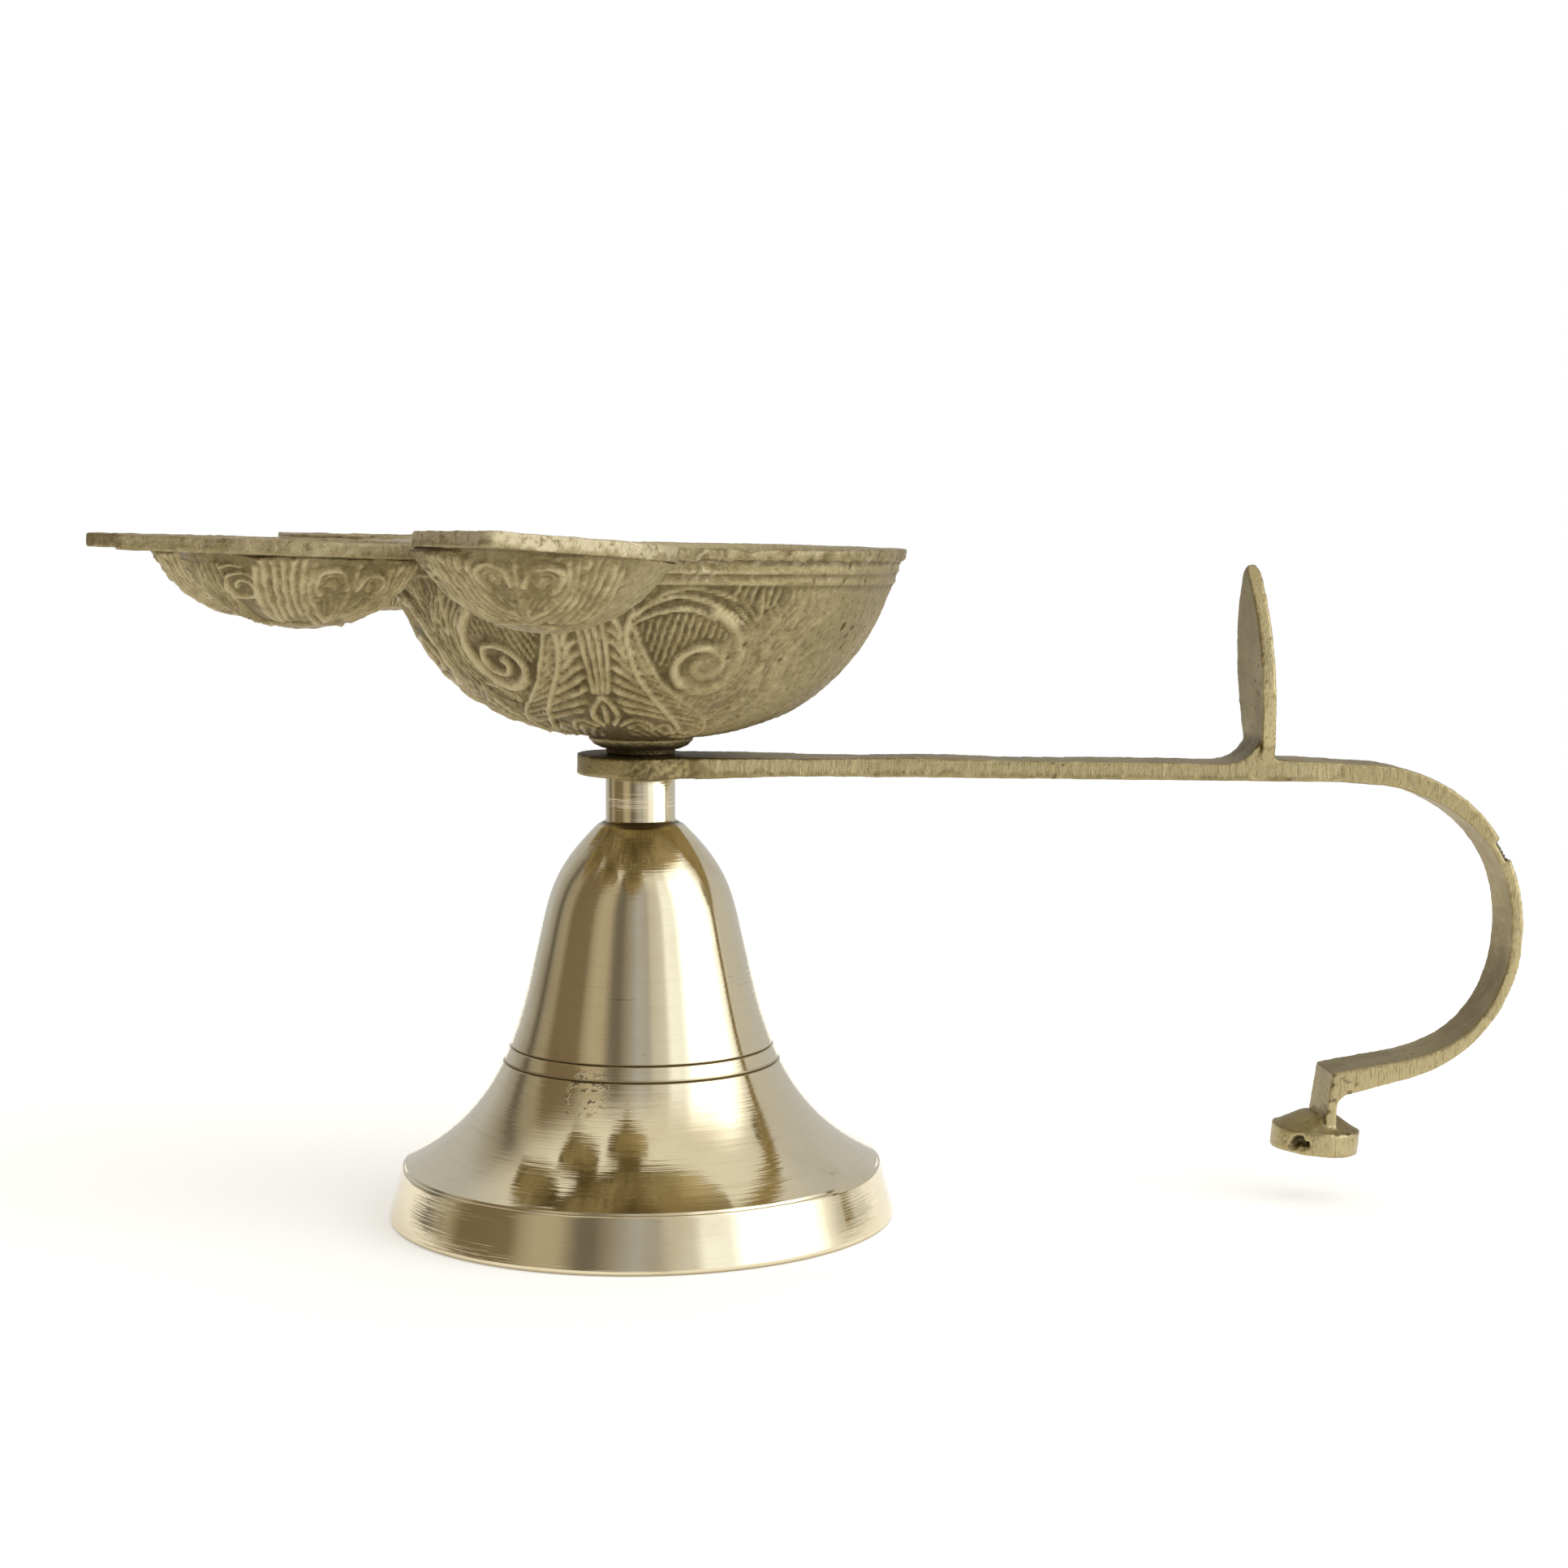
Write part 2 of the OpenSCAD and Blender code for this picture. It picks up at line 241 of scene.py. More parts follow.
class Finish:
    # a material, or the world, that is being wired
    def __init__(self, owner):
        owner.use_nodes = True
        self.owner = owner
        self.tree = owner.node_tree
        self.tree.nodes.clear()

    def node(self, kind, settings=None, inputs=None, output=0):
        made = self.tree.nodes.new("ShaderNode" + kind)
        for key, value in (settings or {}).items():
            if key == "stops":
                ramp = made.color_ramp.elements
                while len(ramp) < len(value):
                    ramp.new(0.5)
                for stop, (position, color) in zip(ramp, value):
                    stop.position = position
                for stop, (position, color) in zip(ramp, value):
                    stop.color = (*color, 1) if isinstance(color, tuple) else (color, color, color, 1)
            else:
                setattr(made, key, value)
        for key, value in (inputs or {}).items():
            socket = socketNamed(made.inputs, key)
            if isinstance(value, Wire):
                self.tree.links.new(value.socket, socket)
            else:
                socket.default_value = value
        return Wire(self, socketNamed(made.outputs, output)) if len(made.outputs) else made

    def mark(self, name):
        return self.node("Attribute", {"attribute_name": name}, output="Fac")

    def place(self, scale=(1, 1, 1)):
        where = self.node("TexCoord", output="Object")
        return self.node("Mapping", None, {"Vector": where, "Scale": scale})

    def noise(self, place, size, detail=2.0, roughness=0.5):
        return self.node("TexNoise", None, {"Vector": place, "Scale": 1 / size, "Detail": detail,
                                            "Roughness": roughness})

    def spread(self, value, low, high):
        # stretches low..high to 0..1
        return self.node("MapRange", {"interpolation_type": "SMOOTHSTEP"},
                         {"Value": value, "From Min": low, "From Max": high})

    def blend(self, mask, first, second):
        return self.node("Mix", {"data_type": "RGBA"}, {"Factor": mask, "A": first, "B": second},
                         output="Result")

    def bump(self, height, distance, below=None, strength=1.0):
        inputs = {"Height": height, "Distance": distance, "Strength": strength}
        if below:
            inputs["Normal"] = below
        return self.node("Bump", None, inputs)

    def surface(self, color, roughness, normal, **constants):
        shader = self.node("BsdfPrincipled", None, {"Base Color": color, "Roughness": roughness,
                                                    "Normal": normal,
                                                    "Metallic": 1.0, **constants})
        self.node("OutputMaterial", None, {"Surface": shader})
        return self.owner


def newFinish(name):
    return Finish(bpy.data.materials.new(name))


# The camera, the floor and the room that lights the lamp.

studio = {
    "camera": (0.019887, -0.392298, 0.097217), "lookDown": 5.394, "lens": 65.32,
    "floorRadius": 0.42, "floorColor": (0.93, 0.93, 0.92), "floorGlow": 0.42, "backdrop": 1.0,
    "roomPower": 1.0,
}
# what stands round the room: the direction in degrees, 0 towards the camera and 90 to its right, and the
# light from it
roomAround = [
    (-180, (0.62, 0.62, 0.62)), (-140, (0.54, 0.55, 0.56)), (-122, (0.36, 0.34, 0.30)),
    (-114, (0.13, 0.12, 0.10)),
    (-106, (0.36, 0.33, 0.27)), (-96, (0.40, 0.35, 0.26)), (-88, (0.22, 0.17, 0.11)),
    (-60, (0.23, 0.18, 0.12)),
    (-54, (0.40, 0.36, 0.26)), (-46, (0.52, 0.46, 0.35)), (-36, (0.50, 0.44, 0.33)),
    (-27, (0.20, 0.18, 0.15)),
    (-20, (0.18, 0.16, 0.13)), (-12, (0.34, 0.31, 0.26)), (0, (0.50, 0.51, 0.54)), (10, (0.47, 0.46, 0.44)),
    (14, (0.66, 0.64, 0.60)), (27, (0.78, 0.77, 0.74)), (31, (1.2, 1.25, 1.3)), (44, (1.15, 1.2, 1.25)),
    (52, (2.4, 2.45, 2.5)), (86, (2.4, 2.45, 2.5)), (97, (1.1, 1.1, 1.1)), (106, (0.64, 0.62, 0.58)),
    (140, (0.58, 0.59, 0.60)), (180, (0.62, 0.62, 0.62)),
]
bpy.ops.object.camera_add(location=studio["camera"], rotation=(math.radians(90 - studio["lookDown"]), 0, 0))
camera = bpy.context.object
camera.data.sensor_width = 36
camera.data.lens = studio["lens"]
bpy.context.scene.camera = camera
bpy.context.scene.view_settings.view_transform = "Standard"

deselectAll()
bpy.ops.mesh.primitive_circle_add(vertices=96, radius=studio["floorRadius"], fill_type="NGON",
                                  location=(0, 0, -0.00003))
floor = bpy.context.object
floor.name = "floor"
paper = newFinish("floorPaper")
paper.node("OutputMaterial", None, {"Surface": paper.node("BsdfPrincipled", None, {
    "Base Color": (*studio["floorColor"], 1), "Roughness": 0.9, "Specular IOR Level": 0.0,
    "Emission Color": (1, 1, 1, 1), "Emission Strength": studio["floorGlow"]})})
floor.data.materials.append(paper.owner)

bpy.context.scene.world = bpy.data.worlds.new("room")
room = Finish(bpy.context.scene.world)
way = room.node("TexCoord", output="Generated")
wayX = room.node("SeparateXYZ", None, {"Vector": way}, "X")
wayY = room.node("SeparateXYZ", None, {"Vector": way}, "Y")
wayZ = room.node("SeparateXYZ", None, {"Vector": way}, "Z")
turn = room.node("Math", {"operation": "ARCTAN2"}, {0: wayX, 1: wayY * -1.0}) * (0.5 / math.pi) + 0.5
strongest = max(max(color) for _, color in roomAround)
around = room.node("ValToRGB", {"stops": [
    (angle / 360 + 0.5, tuple(c / strongest for c in color)) for angle, color in roomAround]},
                   {"Fac": turn}, "Color")
overhead = room.spread(wayZ, 0.62, 0.9)
ceiling = tuple(c / strongest for c in (0.86, 0.83, 0.76))
lit = room.blend(overhead, around, (*ceiling, 1))
seen = room.node("LightPath", output="Is Camera Ray")
glow = room.node("Background", None, {"Color": lit, "Strength": strongest * studio["roomPower"]})
plain = room.node("Background", None, {"Color": (1, 1, 1, 1), "Strength": studio["backdrop"]})
room.node("OutputWorld", None, {"Surface": room.node("MixShader", None, {0: seen, 1: glow, 2: plain})})
print("camera, floor and room ready")


# The bell foot: turned and polished.

bell = {
    "bandHeight": 7.2, "bandDraft": 1.8, "ledge": 0.5, "waist": (15, 35.4), "shoulderRadius": 6, "wall": 1.9,
    "flare": ((0.68, 0.235), (0.85, 0.58)), "dome": ((0.27, 0.5), (0.23, 0.64)),
    "grooves": (24, 21.9), "grooveDepth": 0.26, "grooveHalf": 0.16,
    "neckRadius": 4.8, "neckHeight": 6.8, "crown": 7.6, "bore": 2.85, "steps": 224,
    "flaw": (-0.0070, -0.0202, 0.0213),
}


def bellOutline():
    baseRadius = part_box("bell_base")[1].x / mm
    neckTop = pivot[2] / mm
    bandTop = baseRadius - bell["bandDraft"]
    shoulder = (bell["shoulderRadius"], neckTop - bell["neckHeight"])
    flareStart = (bandTop - bell["ledge"], bell["bandHeight"] + bell["ledge"])
    sides = []
    for start, end, handles in ((flareStart, bell["waist"], bell["flare"]),
                                (bell["waist"], shoulder, bell["dome"])):
        sides.append(cubic(start, share(start, end, handles[0]), share(start, end, handles[1]), end, 200))
    side = np.vstack([sides[0], sides[1][1:]])
    depth, half = bell["grooveDepth"], bell["grooveHalf"]
    radiusAt = lambda z: float(np.interp(z, side[:, 1], side[:, 0]))
    outside = [(r, z) for r, z in evenly(side, 0.42)
               if all(abs(z - g) > half + 0.12 for g in bell["grooves"])]
    for g in bell["grooves"]:
        outside += [(radiusAt(g - half), g - half), (radiusAt(g) - depth, g), (radiusAt(g + half), g + half)]
    outside.sort(key=lambda point: point[1])
    bandHeight, neck = bell["bandHeight"], bell["neckRadius"]
    start = [(bandTop - 1.5, 0), (baseRadius - 0.35, 0), (baseRadius - 0.1, 0.12), (baseRadius, 0.45),
             (baseRadius - 0.03, 0.75), (bandTop + 0.9, bandHeight * 0.5), (bandTop + 0.06, bandHeight - 0.3),
             (bandTop, bandHeight), (bandTop - 0.12, bandHeight + 0.14), (bandTop - 0.34, bandHeight + 0.2)]
    top = [(neck + 0.32, shoulder[1] + 0.45), (neck + 0.05, shoulder[1] + 0.7), (neck, shoulder[1] + 1),
           (neck, shoulder[1] + 3.5), (neck, neckTop - 0.35), (neck - 0.08, neckTop - 0.1),
           (neck - 0.3, neckTop),
           (bell["bore"] + 0.2, neckTop), (bell["bore"], neckTop - 0.2)]
    seat = shoulder[1] - bell["crown"]
    inside = beside(evenly(side, 1.2), -bell["wall"])
    hollow = [tuple(p) for p in inside[::-1] if p[1] < seat - 0.4]
    foot = [(bell["bore"], seat - 0.2), (hollow[0][0] - 0.3, seat - 0.2)] + hollow
    foot += [(bandTop - 1.5, 1.0), (bandTop - 1.5, 0)]
    return start + outside + top + foot


bellPiece = spunOutline("bellFoot", bellOutline(), bell["steps"])
spots = readSpots(bellPiece)
# the neck's end leans with the handle
nearTop = ease(spots[:, 2], pivot[2] - 0.0015, pivot[2] - 0.0003)
spots[:, 2] -= spots[:, 0] * math.tan(headLean) * nearTop
writeSpots(bellPiece, spots)
makeActive(bellPiece)
bpy.ops.object.shade_smooth_by_angle(angle=math.radians(32))
hollowMark = ease(np.hypot(spots[:, 0], spots[:, 1]), 0, 0.001) * (readNormals(bellPiece)[:, 2] < -0.2)
setMark(bellPiece, "hollow", hollowMark)
heights = spots[:, 2] / mm
outer = hollowMark < 0.5
# the two grooves and the crease at the neck's foot, which the finish paints almost black: painted shade in
# these recesses
lines = [np.abs(heights - level) < 0.06 for level in bell["grooves"]]
lines.append(np.abs(heights - pivot[2] / mm + bell["neckHeight"] - 0.45) < 0.2)
setMark(bellPiece, "line", np.logical_or.reduce(lines) & outer)
print("bell foot:", len(bellPiece.data.polygons), "faces")


def turnedBrass():
    look = newFinish("turnedBrass")
    place = look.place()
    rings = look.noise(look.place((30, 30, 2600)), 1.0, 3.0, 0.7)
    wideRings = look.noise(look.place((14, 14, 330)), 1.0, 2.0, 0.6)
    tarnish = look.noise(place, 0.009, 4.0, 0.6)
    scuffs = look.noise(look.place((160, 160, 1400)), 1.0, 4.0, 0.7)
    hollow, line = look.mark("hollow"), look.mark("line")
    away = look.node("VectorMath", {"operation": "DISTANCE"}, {0: place, 1: bell["flaw"]}, "Value")
    flawGrain = look.noise(look.place((1, 1, 1.6)), 0.0011, 3.0, 0.6)
    flaw = look.spread(away, 0.0042, 0.0018) * look.spread(flawGrain, 0.52, 0.6)
    color = look.blend(look.spread(tarnish, 0.42, 0.75), (0.80, 0.71, 0.51, 1), (0.73, 0.63, 0.43, 1))
    color = look.blend(look.spread(rings, 0.5, 0.85) * 0.3, color, (0.56, 0.47, 0.30, 1))
    color = look.blend(look.spread(scuffs, 0.66, 0.74) * 0.5, color, (0.30, 0.23, 0.12, 1))
    # painted shade: the grooves and the neck crease go almost black
    color = look.blend(line * 0.9, color, (0.05, 0.037, 0.016, 1))
    color = look.blend(flaw * 0.75, color, (0.17, 0.12, 0.055, 1))
    color = look.blend(hollow, color, (0.36, 0.29, 0.16, 1))
    rough = (0.055 + look.spread(rings, 0.35, 0.8) * 0.07 + look.spread(tarnish, 0.45, 0.8) * 0.05
             + hollow * 0.35)
    ringBump = look.bump(rings, 0.000028)
    waves = look.bump(wideRings, 0.00003, ringBump)
    normal = look.bump(flaw, 0.00012, waves)
    return look.surface(color, rough + line * 0.3 + flaw * 0.25, normal)


bellPiece.data.materials.append(turnedBrass())
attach(bellPiece, "base")
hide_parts("bell_base")


# The raised ornament: lines drawn on a wall, as (turn in degrees, rise along the wall in mm).

def rounded(line, passes=3):
    # a line of few points with its corners cut until it runs smoothly
    line = np.array(line, float)
    for _ in range(passes):
        cuts = np.empty((2 * len(line) - 2, 2))
        cuts[0::2] = line[:-1] * 0.75 + line[1:] * 0.25
        cuts[1::2] = line[:-1] * 0.25 + line[1:] * 0.75
        line = np.vstack([line[:1], cuts, line[-1:]])
    return line


class Wall:
    # the height of the ornament at each vertex of a wall, from the vertex's turn, rise and radius
    def __init__(self, turn, rise, radius):
        self.turn, self.rise, self.perDegree = turn, rise, np.maximum(radius, 0.5) * math.pi / 180
        self.height = np.zeros(len(turn))

    def far(self, line, reach):
        # the distance to a line in mm, found only for the vertices that are near it
        line = np.array(line, float)
        near = (self.rise > line[:, 1].min() - reach) & (self.rise < line[:, 1].max() + reach)
        near &= (self.turn - line[:, 0].min()) * self.perDegree > -reach
        near &= (self.turn - line[:, 0].max()) * self.perDegree < reach
        near = np.flatnonzero(near)
        best = np.full(len(near), reach)
        turn, rise, perDegree = self.turn[near], self.rise[near], self.perDegree[near]
        for (turnA, riseA), (turnB, riseB) in zip(line, line[1:]):
            ax, ay = (turnA - turn) * perDegree, riseA - rise
            dx, dy = (turnB - turnA) * perDegree, riseB - riseA
            t = np.clip(-(ax * dx + ay * dy) / np.maximum(dx * dx + dy * dy, 1e-9), 0, 1)
            best = np.minimum(best, np.hypot(ax + t * dx, ay + t * dy))
        return near, best

    def ridge(self, line, width, height, smooth=True):
        near, away = self.far(rounded(line) if smooth else line, width)
        top = height * np.clip(1 - (away / (width / 2)) ** 2, 0, None)
        self.height[near] = np.maximum(self.height[near], top)

    def groove(self, line, width, depth, smooth=True):
        near, away = self.far(rounded(line) if smooth else line, width)
        self.height[near] -= depth * np.clip(1 - (away / (width / 2)) ** 2, 0, None)

    def lower(self, mask, depth):
        self.height -= depth * mask

    def lines(self, phase, mask, height, duty=0.62):
        # parallel ridges wherever the mask holds; the phase counts the ridges
        away = np.abs(phase - np.round(phase)) / (duty / 2)
        self.height = np.maximum(self.height, height * np.clip(1 - away ** 2, 0, None) * mask)


def spiralLine(centre, perDegree, turns):
    # (angle, radius in mm) pairs about a centre, as points on the wall
    angles = np.arange(turns[0][0], turns[-1][0] - 1, -12)
    radii = np.interp(-angles, [-a for a, _ in turns], [r for _, r in turns])
    return [(centre[0] + r * math.cos(math.radians(a)) / perDegree, centre[1] + r * math.sin(math.radians(a)))
            for a, r in zip(angles, radii)]


# half of one repeat of the bowl's ornament, which is mirrored about its middle rib; four repeats go round
# the bowl
scrollwork = {
    "repeats": 4, "middle": -9.5, "top": 37.4,
    "stem": [(10.5, 33.5), (8.6, 31), (8.8, 28), (10.2, 24.7), (13.2, 21.1), (18.5, 17), (28, 10.8)],
    "leafEdge": [(10.5, 31), (12.6, 27.5), (17.6, 21.8), (23.6, 18.7), (30.1, 16.3), (37.5, 13.3),
                 (42.5, 9.8),
                 (40, 7), (30, 6)],
    "innerArch": [(9.5, 31.3), (11.2, 32.2), (14.2, 33.2), (17.9, 33.9), (21.7, 34.2), (25.6, 33.8),
                  (29, 32.7)],
    "outerArch": [(10.5, 32.6), (12.9, 34.1), (16.1, 35.2), (20.2, 35.9), (24.4, 35.7), (28.9, 34.8),
                  (33.4, 33.4),
                  (37, 31.3), (39.6, 28.6), (40.2, 25.6), (38.8, 22.8), (35.5, 20.6)],
    "topArch": [(11, 33.3), (14.1, 34.9), (17.3, 36.3), (22.1, 37), (27.2, 36.8), (31.6, 36.1), (36.4, 34.8)],
    "volute": (27.6, 25.3), "volutePerDegree": 0.495,
    "voluteBand": [(84, 8.4), (60, 6.7), (30, 5.3), (-5, 4.6), (-75, 5.0), (-140, 3.9)],
    "voluteCoil": [(-120, 4.2), (-220, 3.2), (-300, 2.6), (-400, 2.3), (-450, 2.2), (-500, 1.6), (-570, 0.9)],
    "petal": [(0, 19.4), (3.2, 17), (4.4, 14.5), (2.2, 12)],
    "arches": [[(4.6, 11.6), (7.5, 13.2), (11, 13.5), (14.2, 12.7), (16.5, 11)],
               [(7.5, 10.6), (11, 12), (14.3, 10.5)],
               [(16.5, 10.2), (20, 12), (24, 11.2), (28, 8.6)], [(24, 8.2), (30, 9.6), (36, 8.4), (41, 5.6)]],
    "leaves": [[(45, 33), (41, 28), (39.5, 36)], [(45, 30), (43, 20), (45, 12)],
               [(30.5, 17.6), (36, 20.6), (41, 20.4)],
               [(36, 12.4), (40, 17), (45, 19.6)], [(42.5, 9.8), (43.6, 14), (45, 17)]],
}


def drawScrolls(turn, rise, radius):
    wall = Wall(turn, rise, radius)
    art = scrollwork
    stem, edge = rounded(art["stem"]), rounded(art["leafEdge"][:7])
    stemTurn = lambda s: np.interp(s, stem[::-1, 1], stem[::-1, 0])
    edgeTurn = lambda s: np.interp(s, edge[::-1, 1], edge[::-1, 0])
    centre, perDegree = art["volute"], art["volutePerDegree"]
    across, up = (turn - centre[0]) * wall.perDegree, rise - centre[1]
    fromCentre, angle = np.hypot(across, up), np.degrees(np.arctan2(up, across))
    band = np.interp(-angle, [-a for a, _ in art["voluteBand"]], [r for _, r in art["voluteBand"]])
    # the ground is sunk a little everywhere below the plain band
    ground = ease(-rise, -art["top"], -art["top"] + 0.5) * ease(rise, 3.5, 5)
    wall.lower(ground, 0.12)
    # long lines that follow the outside of the volute
    beyond = (fromCentre - band - 1.5) / 1.1
    sweep = ease(beyond, -0.1, 0.3) * ease(turn, 33, 35) * ground * ease(-rise, -35.5, -34)
    wall.lines(beyond, sweep, 0.26)
    low = ease(-rise, -11.5, -10.5) * ease(rise, 4.2, 6) * ease(turn, 5, 8)
    wall.lines(turn / 5.5 + rise * 0.35, low, 0.15)
    # the field of bars inside the arch
    innerArch = rounded(art["innerArch"])
    archRise = np.interp(turn, innerArch[:, 0], innerArch[:, 1])
    field = (ease(archRise - rise, 0.5, 0.9) * ease(fromCentre, 4.3, 4.8)
             * ease((turn - edgeTurn(rise)) * perDegree, 0.7, 1.1))
    field *= np.where(angle < 90, ease(band - fromCentre, 0.9, 1.3), 1) * ease(up, -2, 0)
    wall.lower(field, 0.2)
    wall.lines((turn - 0.48 * (rise - 30.9) - 13.9) / 1.86, field, 0.26, 0.56)
    for k in range(6):
        wall.ridge([(24.6 + 1.9 * k, 19.3), (24 + 1.9 * k,
                                             float(np.interp(24 + 1.9 * k, edge[:, 0], edge[:, 1])) + 0.9)],
                   0.75, 0.28, False)
        wall.ridge([(34 + 1.9 * k, 37.3), (33.2 + 1.9 * k, 36 - 0.5 * k + 0.32 * max(0, k - 3) ** 2)], 0.75,
                   0.26, False)
    # the middle ribs
    for k in (0.9, 2.8):
        wall.ridge([(k, 37), (k * 1.1, 30), (k, 24), (k * 0.7, 20.2)], 0.85, 0.4)
    # the fern between the ribs and the stem, and the ribbed leaf outside the stem
    for k in range(9):
        s = 33 - 2.05 * k
        if s > 19:
            wall.ridge([(4.6, s), (6.2, s - 0.6), (float(stemTurn(s - 2.7)) - 1.2, s - 2.7)], 1.25, 0.34)
        else:
            wall.ridge([(5 + 0.9 * (19 - s), s - 0.4), (float(stemTurn(s - 2.6)) - 2, s - 2.6)], 1.1, 0.3)
    for k in range(11):
        s = 29.4 - 1.62 * k
        outer = float(edgeTurn(s - 2.4)) - 1.4
        wall.ridge([(float(stemTurn(s)) + 1.1, s), (outer, s - 2.1)], 0.85, 0.3, False)
    for line in art["leaves"]:
        wall.ridge(line, 0.9, 0.32)
    wall.groove([(30, 16), (37, 17.5), (44, 21)], 1.1, 0.14)
    # the main lines go on top
    for key, width, height in (("innerArch", 0.75, 0.42), ("outerArch", 0.75, 0.36), ("topArch", 0.6, 0.3),
                               ("leafEdge", 0.85, 0.42), ("stem", 1.05, 0.52), ("petal", 0.8, 0.4)):
        wall.ridge(art[key], width, height)
    wall.ridge([(0, 17.4), (0.2, 13)], 0.7, 0.3, False)
    for line in art["arches"]:
        wall.ridge(line, 0.8, 0.36)
    wall.ridge(spiralLine(centre, perDegree, art["voluteBand"]), 2.0, 0.55, False)
    wall.ridge(spiralLine(centre, perDegree, art["voluteCoil"]), 1.35, 0.5, False)
    return wall.height


# The oil bowl: sand cast, with a filed lip.

bowl = {
    "bottom": 3.1, "bossHeight": 0.8, "bossRadius": 4.8, "footRadius": 7.2, "footHeight": 1.6, "height": 26.4,
    "rimRadius": 36.2, "lipHeight": 1.5, "lipOut": 0.8, "wall": 1.9, "holeRadius": 2.55, "holeDepth": 3.9,
    "lineDrop": 3.1, "lineGap": 1.3, "side": ((0.69, 0.09), (0.88, 0.57)),
    "around": 640, "wallRows": 108, "wornFrom": 30, "wornTo": 112,
}


def bowlOutline():
    bottom = pivot[2] / mm + bowl["bottom"]
    foot = bottom + bowl["bossHeight"]
    start = foot + bowl["footHeight"]
    rim, rimZ = bowl["rimRadius"], start + bowl["height"]
    footEdge, wallTop = (bowl["footRadius"] - 0.2, start), (rim - bowl["lipOut"], rimZ - bowl["lipHeight"])
    side = cubic(footEdge, share(footEdge, wallTop, bowl["side"][0]),
                 share(footEdge, wallTop, bowl["side"][1]), wallTop, 240)
    outside = evenly(side, lengthAlong(side)[-1] / bowl["wallRows"])
    inside = beside(evenly(side, 1.75), -bowl["wall"])[::-1]
    hole, deep = bowl["holeRadius"], bottom + bowl["holeDepth"]
    below = [(0, deep), (hole * 0.9, deep), (hole, deep - 0.3), (hole, bottom + 0.3), (hole + 0.3, bottom),
             (bowl["bossRadius"] - 0.15, bottom), (bowl["bossRadius"], bottom + 0.15),
             (bowl["bossRadius"], foot - 0.1),
             (bowl["bossRadius"] + 0.2, foot), (bowl["footRadius"] - 1.7, foot),
             (bowl["footRadius"] - 0.7, foot + 0.45),
             (bowl["footRadius"], start - 0.42), (bowl["footRadius"] + 0.02, start - 0.2),
             (bowl["footRadius"] - 0.15, start - 0.05)]
    lip = [(rim - 0.48, wallTop[1] + 0.02), (rim - 0.3, wallTop[1] + 0.14), (rim - 0.22, wallTop[1] + 0.4),
           (rim - 0.1, rimZ - 0.5), (rim - 0.06, rimZ - 0.16), (rim - 0.22, rimZ - 0.01),
           (rim - 0.9, rimZ + 0.02),
           (rim - bowl["wall"] + 0.22, rimZ), (rim - bowl["wall"], rimZ - 0.2)]
    bed = [(r, z) for r, z in inside if r > 3] + [(0, start + 1.35 * bowl["wall"])]
    return np.array(below), outside, np.array(lip), np.array(bed)


below, outside, lip, bed = bowlOutline()
wallLength = lengthAlong(outside)
bowlLine = np.vstack([below, outside, lip, bed])
bowlSide = np.column_stack([np.gradient(bowlLine[:, 1]), -np.gradient(bowlLine[:, 0])])
bowlSide /= np.maximum(np.linalg.norm(bowlSide, axis=1), 1e-9)[:, None]


